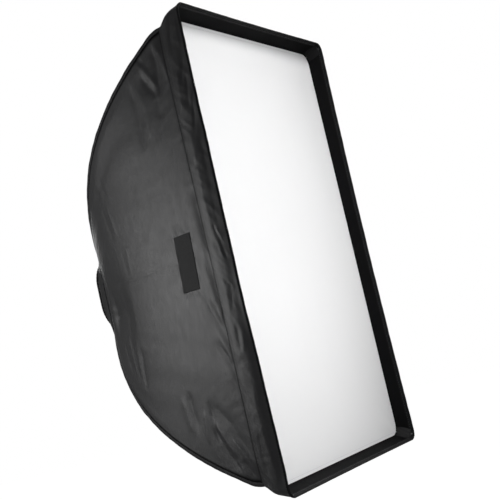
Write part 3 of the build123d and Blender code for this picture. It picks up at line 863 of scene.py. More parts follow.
def skin_relief(base, back):
    """Height of the cloth off the plain surface, and a mask of creases that also places a painted
    highlight.

    Each layer is a height in metres times a pattern. A length divided by a number is
    measured in pattern cells, or in widths of a fade, of that many metres.
    """
    place, side = SKIN_LINE.place[None, :], SKIN_LINE.side[None, :]
    across = SKIN_LINE.across(base)
    from_hub = back[0] - back
    angle = np.arctan2(base[..., 2], base[..., 0])
    own = 2.0 + side * 5.0               # sets each side's pattern apart
    edge = smooth((1 - np.abs(place)) / 0.10)
    down = np.linspace(0, 1, SKIN_ROWS)[:, None]
    # drawn in between the rods
    relief = -0.0055 * (1 - place ** 2) * np.sin(np.pi * down) ** 0.9
    # broad loose areas
    u, v = across / 0.20 + own, back / 0.26
    broad = (noise(u, v, seed=1) + 0.5 * noise(u * 2, v * 2, seed=4)) / 1.5
    relief = relief + edge * 0.0013 * broad * smooth(from_hub / 0.08) * smooth(back / 0.05)
    # long soft folds that run with the rods
    lines = place * 7.5 + 0.9 * noise(back / 0.30, place * 2.0 + own, seed=5)
    relief = relief + (edge * 0.0007 * noise(lines + own * 3, back / 0.34, seed=7)
                       * (0.25 + np.abs(place) ** 1.3)
                       * smooth(from_hub / 0.10) * smooth((back + 0.02) / 0.05))
    # the drawn folds
    near_rod = smooth((1 - np.abs(SKIN_LINE.place)) / 0.03)
    for k in range(4):
        c = np.where(SKIN_LINE.side == k)[0]
        pressed = press(across[:, c], back[:, c], panel_folds(k, back.max()),
                        gain=0.85, widen=1.05, shift=-0.6)
        relief[:, c] += pressed * near_rod[None, c] * smooth(back[:, c] / 0.004)
    # small puckers along the lip seam
    relief = relief + (0.0007 * np.exp(-back / 0.010)
                       * noise(across / 0.012 + own, back / 0.05, seed=13) * edge)
    # fine ripples, stronger where the cloth is gathered
    slack = np.exp(-back / 0.10) * (0.3 + np.abs(place)) + 0.6 * np.exp(-from_hub / 0.09)
    relief = relief + (edge * 0.00024 * slack
                       * noise(across / 0.014 + 0.5 * back / 0.02, back / 0.045 + own, seed=19))
    # small creases left by folding the box away; their mask also paints a highlight along them
    crease_line = np.abs(noise(across / 0.16 + 0.6 * back / 0.1 + own,
                               back / 0.18 - 0.3 * across / 0.1, seed=21))
    crease_highlight = (bell(crease_line / 0.022)
              * smooth(noise(across / 0.15, back / 0.15 + own, seed=25) * 1.5 + 0.1))
    relief = relief + 0.00022 * crease_highlight * edge
    # gathers where the cloth meets the collar
    relief = relief + (0.0010 * np.exp(-from_hub / 0.030) * smooth(from_hub / 0.004)
                       * np.cos(38 * angle + 2.2 * noise(angle * 4, from_hub / 0.05, seed=27)))
    relief = relief + (0.0009 * np.exp(-from_hub / 0.08) * smooth(from_hub / 0.02)
                       * noise(angle * 9, from_hub / 0.15, seed=28))
    # the patch pulls at the left panel: rays round a 105 x 51 mm rectangle
    from_x, from_back = across + 0.0045, back - 0.0722
    distance = np.hypot(np.maximum(np.abs(from_x) - 0.0525, 0),
                        np.maximum(np.abs(from_back) - 0.0255, 0))
    rays = np.cos(np.arctan2(from_back, from_x * 0.5) * 11
                  + 2 * noise(from_x / 0.02, from_back / 0.02, seed=29))
    relief = relief + ((side == LEFT) * 0.0008 * np.exp(-distance / 0.010)
                       * smooth(distance / 0.002) * rays)
    return relief, crease_highlight


SKIN_BASE, SKIN_BACK = skin_grid()
SKIN_RELIEF, SKIN_CREASE_HIGHLIGHT = skin_relief(SKIN_BASE, SKIN_BACK)
BASE_NORMALS = normals(SKIN_BASE)
# the cloth dives a little under the lip at the seam
SKIN = (pinch(SKIN_BASE + BASE_NORMALS * SKIN_RELIEF[..., None])
        - BASE_NORMALS * (0.0016 * np.exp(-SKIN_BACK / 0.0035))[..., None])
SKIN_NORMALS = normals(SKIN)
SKIN_UV = np.stack([SKIN_LINE.across(SKIN_BASE) + SKIN_LINE.side[None, :] * 1.7, SKIN_BACK], -1)


def skin_shade():
    """Painted shade: darkening in the lip seam, by the collar and beside the rods."""
    from_hub = SKIN_BACK[0] - SKIN_BACK
    shade = np.maximum(bell(SKIN_BACK / 0.0020), 0.52 * bell(from_hub / 0.080))
    half_side = np.where(SKIN_LINE.upright,
                         np.abs(SKIN_BASE[..., 0]) * CORNER_Z / CORNER_X,
                         np.abs(SKIN_BASE[..., 2]) * CORNER_X / CORNER_Z)
    from_rod = (1 - np.abs(SKIN_LINE.place))[None, :] * half_side
    spread = 0.0018 + 0.0026 * np.exp(-SKIN_BACK / 0.12)
    return np.maximum(shade, 0.97 * bell(np.maximum(from_rod - 0.0078, 0) / spread))


def build_panels():
    shade = skin_shade()
    inside = SKIN - SKIN_NORMALS * SKIN_THICKNESS
    for k, side_name in enumerate(("right", "top", "left", "bottom")):
        c = np.where(SKIN_LINE.side == k)[0]
        c = np.concatenate([c, [(c[-1] + 1) % SKIN_LINE.count]])
        uv = SKIN_UV[:, c]
        uv[:, -1] = 2 * uv[:, -2] - uv[:, -3]
        panel = shell("skin_" + side_name, SKIN[:, c], inside[:, c], False,
                      [NYLON, INNER_BLACK], uv,
                      {"crease_highlight": SKIN_CREASE_HIGHLIGHT[:, c], "seam_shade": shade[:, c]},
                      inner_slot=1, sharp=70)
        place(panel, "outer_cloth", "softbox", "panel_" + side_name)


def build_lining():
    """Silver lining, 2 mm inside the skin's deepest nearby folds and coarser than it."""
    rows = np.unique(np.round(np.linspace(0, SKIN_ROWS - 1, 60)).astype(int))
    cols = np.arange(0, SKIN_LINE.count, 2)
    depth = SKIN_RELIEF.copy()
    for _ in range(4):
        depth = np.minimum.reduce([depth, np.roll(depth, 1, 1), np.roll(depth, -1, 1),
                                   np.vstack([depth[:1], depth[:-1]]),
                                   np.vstack([depth[1:], depth[-1:]])])
    for _ in range(2):
        depth = (depth + np.roll(depth, 1, 1) + np.roll(depth, -1, 1)) / 3
    face = pinch(SKIN_BASE + BASE_NORMALS * (depth - 0.0020)[..., None], amount=0.0056)
    face = face[rows][:, cols]
    lining = shell("silver_lining_skin", face, face - BASE_NORMALS[rows][:, cols] * 0.0005,
                   True, [SILVER], SKIN_UV[rows][:, cols], sharp=70)
    place(lining, "silver_lining", "softbox",
          "lining_left", "lining_right", "lining_top", "lining_bottom")


build_panels()
build_lining()

# =====================================================================
# lip: outer face, rolled front edge, inner face
# =====================================================================
LIP_LINE = Outline(400, 270, bunch=0.35)
LIP_RUN = LIP_LINE.run(WIDTH / 2, LENGTH / 2, side_step=0.9)
LIP_BACK, LIP_FRONT = LIP_DEPTH + 0.0025, 0.0035       # ends of the outer face, behind the rim
LIP_OUTER_ROWS, LIP_INNER_ROWS = 30, 16
ROLL_ANGLES = (25, 60, 90, 120, 155)
ROLL_RADIUS = 0.0013
RIM_CORNER = 0.0195                                   # corner radius at the rim
RIM_BOW = np.array([0.0035, 0.0022, 0.0050, 0.0022])  # mid-side set-back: right, top, left, bottom


def lip_loop(behind, inset_x, inset_z, radius):
    """Loop round the lip; the middles of its sides sag back and inwards."""
    r = float(radius_at(max(behind, 0.0)))
    x, z = LIP_LINE.rounded(r * CORNER_X - inset_x, r * CORNER_Z - inset_z, radius)
    middle = 1 - LIP_LINE.place ** 2
    bow = RIM_BOW[LIP_LINE.side] * middle
    y = behind + RIM_Y + bow * max(0.0, 1 - behind / LIP_DEPTH) ** 1.2
    points = np.stack([x, y, z], -1)
    inward = (np.where(LIP_LINE.upright, 0.0026, 0.0002) * middle
              * (1 - 0.4 * behind / LIP_DEPTH))
    return points - LIP_LINE.outward(points) * inward[:, None]


def pull_in(points):
    """Draw the left edge of the rim inwards along two parts of its height."""
    z, behind = points[..., 2], points[..., 1] - RIM_Y
    low = smooth((-0.10 - z) / 0.10) * smooth((z + 0.438) / 0.05)
    middle = smooth((0.26 - z) / 0.05) * smooth((z + 0.06) / 0.06)
    moved = points.copy()
    moved[..., 0] += ((0.0024 * low + 0.0012 * middle) * smooth((0.021 - behind) / 0.016)
                      * (points[..., 0] < -0.25))
    return moved


def lip_grid():
    """Plain loops of the lip, and each row's distance across the strip."""
    rows, across_strip = [], []
    for i in range(LIP_OUTER_ROWS):
        behind = LIP_BACK - (LIP_BACK - LIP_FRONT) * i / (LIP_OUTER_ROWS - 1)
        step_in = 0.0011 * float(smooth((LIP_DEPTH - 0.032 - behind) / 0.018))
        inset = -0.0009 - 0.0012 * math.sin(math.pi * behind / LIP_DEPTH)
        radius = 0.0075 + 0.0125 * max(0.0, 1 - behind / LIP_DEPTH) ** 2.4
        rows.append(lip_loop(behind, inset + step_in, inset, radius))
        across_strip.append(LIP_BACK - behind)
    for degrees in ROLL_ANGLES:
        angle = math.radians(degrees)
        turn = ROLL_RADIUS * (1 - math.cos(angle))
        rows.append(lip_loop(LIP_FRONT - ROLL_RADIUS * math.sin(angle) * 1.2,
                             0.0005 + 0.6 * turn, -0.0009 + turn, RIM_CORNER))
        across_strip.append(LIP_DEPTH)
    for i in range(LIP_INNER_ROWS):
        behind = LIP_FRONT + (LIP_DEPTH - 0.0045) * i / (LIP_INNER_ROWS - 1)
        rows.append(lip_loop(behind, 0.0017, 0.0017, 0.018 - 0.008 * behind / LIP_DEPTH))
        across_strip.append(behind)
    return np.stack(rows), np.array(across_strip)[:, None]


def lip_relief(strip, outer, inner):
    """Height of the lip's cloth and its mask for a painted highlight on crinkle crests; numbers
    are as in skin_relief.
    """
    run = LIP_RUN[None, :]
    across = LIP_LINE.run(WIDTH / 2, LENGTH / 2, side_step=0)
    away_from_edges = np.sin(np.pi * strip / 0.060) ** 0.6
    relief = np.zeros((len(strip), LIP_LINE.count))
    for k in range(4):
        c = np.where(LIP_LINE.side == k)[0]
        folds = (LEFT_LIP_FOLDS if k == LEFT
                 else random_lip_folds(31 + k, half=420 if k == RIGHT else 270))
        shape = (len(strip), len(c))
        relief[:, c] += press(np.broadcast_to(across[c], shape), np.broadcast_to(strip, shape),
                              folds, gain=0.66, widen=1.0, shift=0.6)
    relief = relief * outer * away_from_edges * smooth((0.0560 - strip) / 0.010)
    # crisp small crinkles
    loose = smooth(noise(run / 0.12, 5, seed=37) * 1.3 + 0.6)
    small = creased(run / 0.016 - strip / 0.022, strip / 0.034, seed=35, sharp=0.6)
    large = creased(run / 0.030 + strip / 0.030, strip / 0.050 + 0.4, seed=33, sharp=0.65)
    relief = relief + away_from_edges * outer * (0.0003 * small * loose + 0.0006 * large)
    # the strip bellies out behind the rim and is held in near it
    relief = relief + outer * (0.0005 * bell((strip - 0.017) / 0.012)
                               - 0.0004 * bell((strip - 0.044) / 0.009))
    # seam allowance ridge just in front of the seam
    relief = relief + 0.0004 * bell((strip - 0.005) / 0.0018) * outer
    relief = relief - 0.0004 * noise(run / 0.05, strip / 0.04, seed=41) * inner
    # the mask paints a highlight on the crests of the small crinkles
    return relief, np.clip(outer * np.maximum(small, 0) * loose * 0.8, 0, 1)


def build_lip():
    """Build the lip and return its points."""
    points, strip = lip_grid()
    row = np.arange(len(points))[:, None]
    outer = (row < LIP_OUTER_ROWS) * 1.0
    inner = row >= LIP_OUTER_ROWS + len(ROLL_ANGLES)
    relief, crease_highlight = lip_relief(strip, outer, inner)
    corner_fade = smooth((1 - np.abs(LIP_LINE.place)) / 0.02)[None, :]
    points = points + LIP_LINE.outward(points) * (relief * corner_fade)[..., None]
    points = pull_in(pinch(points))
    shape = points.shape[:2]
    uv = np.stack([np.broadcast_to(LIP_RUN, shape), np.broadcast_to(strip + 3, shape)], -1)
    # painted shade: darker colour along the lip seam
    shade = np.broadcast_to(bell(strip / 0.0022) * outer, shape)
    # the black inner cloth starts part way round the rolled edge
    ids = np.repeat(row[:, 0] >= LIP_OUTER_ROWS + 3, LIP_LINE.count)
    lip = ring_band("lip_band", points, [LIP_CLOTH, INNER_BLACK], uv, ids,
                    {"crease_highlight": crease_highlight, "seam_shade": shade})
    place(lip, "outer_cloth", "softbox", "lip_left", "lip_right", "lip_top", "lip_bottom")
    return points


def build_rim_binding():
    """Tape folded over the front edge; returns its points."""
    # section of the tape: behind the rim, inset
    section = [(0.0040, -0.0016), (0.0025, -0.0017)]
    for degrees in np.linspace(-67.5, 67.5, 7):
        angle = math.radians(degrees)
        section.append((0.0012 - 0.0030 * math.cos(angle), 0.0004 + 0.0019 * math.sin(angle)))
    section += [(0.0030, 0.0025), (0.0080, 0.0024), (0.0080, 0.0019), (0.0040, 0.0017),
                (0.0040, -0.0002), (0.0042, -0.0011)]
    rows = []
    for behind, inset in section:
        # the long sides are pulled in a little at the rim
        pulled = inset + 0.0010 * min(1.0, max(0.0, (0.0012 - inset) / 0.0015))
        rows.append(lip_loop(behind, pulled, inset, RIM_CORNER - max(0.0, inset) * 0.6))
    points = np.stack(rows)
    points[..., 1] += 0.0004 * noise(
        LIP_LINE.run(WIDTH / 2, LENGTH / 2, side_step=0) / 0.02 + LIP_LINE.side, 0, seed=43)
    points = pull_in(points)
    binding = ring_band("rim_binding", points, [RIM_TAPE],
                        ring_uv(LIP_RUN, len(section), step=0.002))
    place(binding, "binding_cloth", "softbox", "rim_hem")
    return points


LIP = build_lip()
RIM_BINDING = build_rim_binding()

# =====================================================================
# stitches
# =====================================================================
STITCH_LENGTH, STITCH_GAP, THREAD_RADIUS = 0.0034, 0.0018, 0.00042
STITCH_RING = 5                              # points round the thread
# stations of one stitch: share of its length, share of the thread's radius
STITCH_STATIONS = np.array([(0, 0.35), (0.18, 0.9), (0.5, 1.0), (0.82, 0.9), (1.0, 0.35)])


def stitches(name, lines, mat):
    """Thread bumps along closed lines, each given as (points, normals)."""
    verts, faces = [], []
    count = len(STITCH_STATIONS)
    for points, line_normals in lines:
        points, line_normals = (np.concatenate([a, a[:1]]) for a in (points, line_normals))
        arc = np.concatenate([[0], np.cumsum(np.linalg.norm(np.diff(points, axis=0), axis=1))])
        n = int(arc[-1] / (STITCH_LENGTH + STITCH_GAP))
        for start in (np.arange(n) + 0.15) * arc[-1] / n:
            q = start + STITCH_STATIONS[:, 0] * STITCH_LENGTH
            centres = np.stack([np.interp(q, arc, points[:, k]) for k in range(3)], -1)
            up = np.stack([np.interp(q, arc, line_normals[:, k]) for k in range(3)], -1)
            up /= np.linalg.norm(up, axis=1, keepdims=True)
            way = centres[-1] - centres[0]
            way /= max(np.linalg.norm(way), 1e-9)
            beside = np.cross(way, up)
            base = len(verts)
            for i, radius in enumerate(THREAD_RADIUS * STITCH_STATIONS[:, 1]):
                for k in range(STITCH_RING):
                    angle = 2 * math.pi * k / STITCH_RING
                    verts.append(centres[i] + beside[i] * radius * math.cos(angle)
                                 + up[i] * (radius * (math.sin(angle) * 0.8 + 0.25)))
            faces += list(grid_faces(count, STITCH_RING, True, base))
            faces.append(tuple(range(base, base + STITCH_RING))[::-1])
            last = base + (count - 1) * STITCH_RING
            faces.append(tuple(range(last, last + STITCH_RING)))
    verts = np.array(verts)
    return add_mesh(name, verts, faces, verts[:, [0, 2]] + verts[:, [1, 1]], [mat], sharp=80)


def build_lip_stitches():
    row = 2                                  # the third row from the seam
    line = (LIP[row], normals(LIP[:LIP_OUTER_ROWS])[row])
    place(stitches("lip_seam_stitches", [line], THREAD), "binding_cloth", "softbox")


def build_rim_stitches():
    """A row outside the rim binding and a row inside it."""
    out = LIP_LINE.outward(RIM_BINDING[0])
    outside = RIM_BINDING[0] * 0.35 + RIM_BINDING[1] * 0.65
    inside = RIM_BINDING[-5] * 0.35 + RIM_BINDING[-6] * 0.65
    place(stitches("rim_stitches", [(outside, out), (inside, -out)], THREAD),
          "binding_cloth", "softbox")


build_lip_stitches()
build_rim_stitches()

# =====================================================================
# bound seams over the rods
# =====================================================================
# section of the folded tape: sideways, height
BINDING_SECTION = [
    (-0.0052, -0.0044), (-0.0042, -0.0022), (-0.0030, -0.0007), (-0.0019, 0.0005),
    (-0.0010, 0.0013), (0.0, 0.0016), (0.0010, 0.0013), (0.0019, 0.0005), (0.0030, -0.0007),
    (0.0042, -0.0022), (0.0052, -0.0044), (0.0, -0.0040)]
BINDING_CREST = 0.0016


def build_seam_binding(name, sx, sz):
    """Flat tape folded over the two raw edges, leaning a little."""
    arc = np.linspace(arc_at(0.4708), arc_at(LIP_DEPTH - 0.003), 170)
    r, behind = seam_by_arc(arc)
    way_r, way_y = np.gradient(r), np.gradient(behind)
    size = np.hypot(way_r, way_y)
    way_r, way_y = way_r / size, way_y / size
    out = np.stack([sx * CORNER_X * -way_y, way_r, sz * CORNER_Z * -way_y], -1)
    sideways = np.array([-sz * CORNER_Z, 0.0, sx * CORNER_X])
    base = np.stack([sx * CORNER_X * r, behind + RIM_Y, sz * CORNER_Z * r], -1)
    # heights in metres of noises whose cells are 18 to 90 mm long
    wave = (0.0005 * noise(arc / 0.018, sx + 2 * sz, seed=51)
            + 0.0006 * noise(arc / 0.06, sx, seed=52))
    lean = 0.0006 * noise(arc / 0.09, sx * 3 + sz, seed=53)
    # the front end dips under the lip over its last 14 mm
    dip = 0.0034 * np.clip(1 - (arc[-1] - arc) / 0.014, 0, 1) ** 2
    points = np.zeros((len(arc), len(BINDING_SECTION), 3))
    for j, (aside, height) in enumerate(BINDING_SECTION):
        crest = max(height, 0) / BINDING_CREST
        points[:, j] = (base + sideways * (aside + lean * crest)[:, None]
                        + out * (height * 0.92 + wave * crest - dip)[:, None])
    ob = sweep("seam_binding_" + name, pinch(points), arc, step=0.001, mat=TAPE, sharp=75)
    place(ob, "binding_cloth", "softbox", "binding_" + name)


for corner_name, (sign_x, sign_z) in CORNERS.items():
    build_seam_binding(corner_name, sign_x, sign_z)

# =====================================================================
# front diffuser
# =====================================================================
DIFFUSER_Y = RIM_Y + 0.0335
DIFFUSER_HALF_X = float(radius_at(0.034)) * CORNER_X - 0.0040
DIFFUSER_HALF_Z = float(radius_at(0.034)) * CORNER_Z - 0.0041
WHITE_THICKNESS = 0.0006


def sheet(name, half_x, half_z, radius, y, mat, cols, rows, relief):
    """Upright white sheet with rounded corners; relief(x, z, edge distance) moves it in y."""
    v, u = np.linspace(-1, 1, rows), np.linspace(-1, 1, cols)
    v = np.sin(np.pi / 2 * v) * 0.75 + 0.25 * v
    u = np.sin(np.pi / 2 * u) * 0.6 + 0.4 * u
    z = v * half_z
    past = np.clip(np.abs(z) - (half_z - radius), 0, radius)
    row_half = half_x - radius + np.sqrt(np.maximum(radius * radius - past * past, 0))
    x = u[None, :] * row_half[:, None]
    z = np.repeat(z[:, None], cols, 1)
    edge = np.minimum(half_x - np.abs(x), half_z - np.abs(z))
    front = np.stack([x, y + relief(x, z, edge), z], -1)
    return shell(name, front, front + np.array([0, WHITE_THICKNESS, 0]), False, [mat],
                 np.stack([x, z], -1))


def diffuser_relief(x, z, edge):
    """Bulge and soft folds in metres; numbers are as in skin_relief."""
    soft = smooth(edge / 0.05)
    y = 0.0045 * soft * (1 - (x / DIFFUSER_HALF_X) ** 2) * (1 - (z / DIFFUSER_HALF_Z) ** 2)
    # drawn towards the corners
    for sx in (1, -1):
        for sz in (1, -1):
            dx, dz = DIFFUSER_HALF_X - sx * x, DIFFUSER_HALF_Z - sz * z
            y = y + (0.0011 * np.exp(-np.hypot(dx, dz) / 0.10) * smooth(edge / 0.02)
                     * np.cos(np.arctan2(dz, dx) * 9 + sx + 2 * sz))
    y = y + (0.0006 * np.exp(-edge / 0.03) * smooth(edge / 0.006)
             * noise(z / 0.05 + x / 0.09, x / 0.05, seed=61))
    return y + 0.0006 * noise(x / 0.05, z / 0.7, seed=63) * soft


def flat_band(name, rows, run, mat, step_seed, wobble, sharp):
    """Closed band with a slight wobble in y along its run."""
    rows = np.stack(rows)
    rows[..., 1] += wobble * noise(run / 0.03, 0, seed=step_seed)
    ob = ring_band(name, rows, [mat], ring_uv(run, len(rows), step=0.004), sharp=sharp)
    face_outwards(ob)
    return ob


def lip_strip(name, section, radius, mat, seed=0, wobble=0.0):
    """Band inside the lip with a section of (behind the rim, inset)."""
    outline = Outline(150, 100)
    rows = []
    for behind, inset in section:
        r = float(radius_at(behind))
        x, z = outline.rounded(r * CORNER_X - inset, r * CORNER_Z - inset * 1.02,
                               radius - max(0, inset - 0.002))
        rows.append(np.stack([x, np.full(outline.count, behind + RIM_Y), z], -1))
    run = outline.run(WIDTH / 2, LENGTH / 2, side_step=0.9)
    return flat_band(name, rows, run, mat, seed, wobble, sharp=50)


def build_diffuser():
    ob = sheet("diffuser_panel", DIFFUSER_HALF_X, DIFFUSER_HALF_Z, 0.024, DIFFUSER_Y, DIFFUSION,
               cols=120, rows=170, relief=diffuser_relief)
    place(ob, "white_cloth", "front_diffuser", "diffuser_cloth")


def build_lip_strips():
    """Loop pile on the lip, hook tape facing it, and the diffuser's border."""
    ob = lip_strip("loop_pile_strip",
                   [(0.0372, 0.0023), (0.037, 0.0026), (0.0374, 0.0029),
                    (0.0546, 0.0029), (0.055, 0.0026), (0.0548, 0.0023)],
                   radius=0.026, mat=LOOP_PILE, seed=71, wobble=0.0002)
    place(ob, "hook_loop", "softbox", "loop_strip")
    ob = lip_strip("hook_tape_strip",
                   [(0.0372, 0.0031), (0.037, 0.0033), (0.0374, 0.0037),
                    (0.0546, 0.0037), (0.055, 0.0033), (0.0548, 0.0031)],
                   radius=0.025, mat=HOOK_TAPE, seed=72, wobble=0.0002)
    place(ob, "hook_loop", "front_diffuser", "hook_strip")
    ob = lip_strip("diffuser_edge",
                   [(0.0338, 0.0044), (0.0346, 0.0040), (0.0549, 0.0040),
                    (0.0553, 0.0043), (0.0549, 0.0046), (0.0350, 0.0048)],
                   radius=0.024, mat=WHITE_TAPE)
    place(ob, "white_border", "front_diffuser", "diffuser_border")


def build_diffuser_stitches():
    """A row of stitches 6 mm inside the diffuser's edge."""
    outline = Outline(150, 100)
    x, z = outline.rounded(DIFFUSER_HALF_X - 0.006, DIFFUSER_HALF_Z - 0.006, 0.019)
    edge = np.minimum(DIFFUSER_HALF_X - np.abs(x), DIFFUSER_HALF_Z - np.abs(z))
    points = np.stack([x, DIFFUSER_Y + diffuser_relief(x, z, edge) - 0.0001, z], -1)
    forward = np.tile([0, -1.0, 0], (outline.count, 1))
    place(stitches("diffuser_stitches", [(points, forward)], WHITE_THREAD),
          "white_border", "front_diffuser")


build_diffuser()
build_lip_strips()
build_diffuser_stitches()

# =====================================================================
# inner baffle
# =====================================================================
BAFFLE_Y = RIM_Y + 0.200
BAFFLE_HALF_X, BAFFLE_HALF_Z = 0.205, 0.325
HEM_WIDTH = 0.0101
# section of the hem: y from the baffle's middle, inset
HEM_SECTION = [(-0.0007, 0.0002), (-0.0008, 0.0012), (-0.0008, 0.0090), (-0.0006, 0.0102),
               (0.0, 0.0104), (0.0006, 0.0102), (0.0008, 0.0090), (0.0008, 0.0012),
               (0.0007, 0.0002), (0.0, -0.0002)]
STRAP_HALF_WIDTH = 0.0075
# direction in x and z that each strap runs, and its place across that direction
STRAPS = [(1, 0, 0.2), (1, 0, -0.2), (-1, 0, 0.2), (-1, 0, -0.2),
          (0, 1, 0.115), (0, 1, -0.115), (0, -1, 0.115), (0, -1, -0.115)]


def baffle_relief(x, z, edge):
    y = (0.0030 * np.sin(np.pi * (x / BAFFLE_HALF_X + 1) / 2)
         * np.sin(np.pi * (z / BAFFLE_HALF_Z + 1) / 2))
    y = y + 0.0010 * noise(x / 0.06, z / 0.25, seed=81) * smooth(edge / 0.04)
    return y * smooth(edge / 0.015)


def build_baffle():
    ob = sheet("baffle_sheet", BAFFLE_HALF_X - HEM_WIDTH, BAFFLE_HALF_Z - HEM_WIDTH, 0.0099,
               BAFFLE_Y - WHITE_THICKNESS / 2, BAFFLE_WHITE, cols=70, rows=100,
               relief=baffle_relief)
    place(ob, "white_cloth", "inner_baffle", "baffle_cloth")


def build_baffle_hem():
    outline = Outline(110, 80)
    rows = []
    for dy, inset in HEM_SECTION:
        x, z = outline.rounded(BAFFLE_HALF_X - inset, BAFFLE_HALF_Z - inset,
                               0.018 - inset * 0.8)
        rows.append(np.stack([x, np.full(outline.count, BAFFLE_Y + dy), z], -1))
    run = outline.run(BAFFLE_HALF_X, BAFFLE_HALF_Z, side_step=1)
    ob = flat_band("baffle_hem", rows, run, WHITE_TAPE, step_seed=83, wobble=0.0005, sharp=60)
    place(ob, "white_border", "inner_baffle", "baffle_border")


def ribbons(name, items, thick):
    """Flat webbing lying across y; each item is (centre points, half width vector)."""
    # section: share of the half width, share of the thickness
    section = [(-1, 0.25), (-0.96, 0.5), (0.96, 0.5), (1, 0.25),
               (1, -0.25), (0.96, -0.5), (-0.96, -0.5), (-1, -0.25)]
    verts, faces, uvs = [], [], []
    for points, half in items:
        faces += tube_faces(len(points), len(section), base=len(verts))
        steps = np.linalg.norm(np.diff(points, axis=0), axis=1)
        for point, run in zip(points, np.concatenate([[0], np.cumsum(steps)])):
            for aside, height in section:
                verts.append(point + half * aside + np.array([0, height * thick, 0]))
                uvs.append((run, aside * 0.007))
    ob = add_mesh(name, verts, faces, np.array(uvs), [ELASTIC])
    face_outwards(ob)
    return ob


def build_straps():
    """Elastic straps from the baffle to snaps, and the tabs that hold them to the walls."""
    straps, tabs = [], []
    for way_x, way_z, aside in STRAPS:
        edge = BAFFLE_HALF_X if way_x else BAFFLE_HALF_Z
        wall = float(radius_at(0.2055)) * (CORNER_X if way_x else CORNER_Z) - 0.0030
        snap = wall - 0.011
        half = STRAP_HALF_WIDTH * np.array([abs(way_z), 0, abs(way_x)])

        def line(start, end, y):
            out = np.linspace(start, end, len(y))
            x = way_x * out if way_x else np.full(len(y), aside)
            z = way_z * out if way_z else np.full(len(y), aside)
            return np.stack([x, y, z], -1)

        straps.append((line(edge - 0.008, snap + 0.007,
                            BAFFLE_Y + 0.00145 + 0.0002 * np.sin(np.arange(11) * 1.3)), half))
        tabs.append((line(snap - 0.007, wall - 0.0062,
                          BAFFLE_Y + 0.0039 + 0.00008 * np.arange(7) ** 2), half))
    place(ribbons("baffle_elastic_straps", straps, thick=0.0009),
          "binding_cloth", "inner_baffle", "baffle_straps")
    place(ribbons("baffle_anchor_tabs", tabs, thick=0.0010),
          "binding_cloth", "softbox", "baffle_tabs")


build_baffle()
build_baffle_hem()
build_straps()

# =====================================================================
# rear collar with its elastic edge
# =====================================================================
COLLAR_LINE = Outline(120, 110, bunch=0.35)
COLLAR_ROWS = 20
SLOT_HALF = 0.0085               # half height of the slot for the brake screw, at +X


def collar_loop(grow):
    """Points where the collar's outline, grown outwards, meets the skin."""
    t = collar_foot(COLLAR_LINE, grow)
    r = np.interp(t, SEAM_T, SEAM_R)
    x, z = COLLAR_LINE.rectangle(r * CORNER_X, r * CORNER_Z)
    return x, np.interp(t, SEAM_T, SEAM_BEHIND) + RIM_Y, z


def collar_outward(x, z):
    """Unit direction straight out of the collar's outline."""
    step = 1e-4

    def distance(px, pz):
        return rounded_distance(px, pz, COLLAR_HALF_X, COLLAR_HALF_Z, COLLAR_RADIUS)

    out_x = (distance(x + step, z) - distance(x - step, z)) / (2 * step)
    out_z = (distance(x, z + step) - distance(x, z - step)) / (2 * step)
    size = np.hypot(out_x, out_z)
    return out_x / size, out_z / size


COLLAR_X, COLLAR_Y, COLLAR_Z = collar_loop(0.0)
COLLAR_ANGLE = np.arctan2(COLLAR_Z, COLLAR_X)
COLLAR_OUT_X, COLLAR_OUT_Z = collar_outward(COLLAR_X, COLLAR_Z)


def build_collar():
    angle = COLLAR_ANGLE

    def over_rods(a):
        """Swell where the rods pass, at these angles from +X."""
        return bell((a - 0.83) / 0.5) + bell((a - 2.31) / 0.5)

    # the foot reaches further out over the rods, most of all over the lower two
    foot_x, foot_y, foot_z = collar_loop(0.014 + 0.006 * over_rods(np.abs(angle))
                                         + 0.016 * over_rods(-angle))
    notch = smooth((SLOT_HALF - np.abs(COLLAR_Z)) / 0.003) * (COLLAR_X > 0)
    top_y = -0.0074 - 0.0123 * notch + 0.0003 * noise(angle * 6, 0, seed=91)
    gather = (np.cos(44 * angle + 2.5 * noise(angle * 5, 0, seed=93))
              * (0.6 + 0.4 * noise(angle * 3, 0, seed=94)))
    up = (np.arange(COLLAR_ROWS) / (COLLAR_ROWS - 1))[:, None]

    def face(offset, bulge, foot_drop):
        """Collar face from foot to top; its foot sweeps out along the skin."""
        y = (COLLAR_Y + (top_y - COLLAR_Y) * up
             + (foot_y - foot_drop - COLLAR_Y) * (1 - up) ** 2.6)
        sweep_out = (1 - up) ** 2.0
        gathers = gather * 0.00060 * np.sin(np.pi * np.minimum(1, up * 1.05)) ** 0.7
        off = offset + gathers + bulge * bell((up - 0.90) / 0.09)
        return np.stack([COLLAR_X + COLLAR_OUT_X * off + (foot_x - COLLAR_X) * sweep_out, y,
                         COLLAR_Z + COLLAR_OUT_Z * off + (foot_z - COLLAR_Z) * sweep_out], -1)

    outer = face(offset=0.0005, bulge=0.0011, foot_drop=0.0010)
    inner = face(offset=-0.0005, bulge=-0.0006, foot_drop=0.0016)
    shape = outer.shape[:2]
    uv = np.stack([np.broadcast_to(angle * 0.075, shape), outer[..., 1]], -1)
    # painted highlight on the crests of the gathers
    crease_highlight = np.broadcast_to(np.clip(gather, 0, 1) * 0.5, shape)
    ob = shell("collar_sleeve", outer, inner, True, [COLLAR_CLOTH], uv, {"crease_highlight": crease_highlight})
    place(ob, "outer_cloth", "softbox", "rear_cuff")


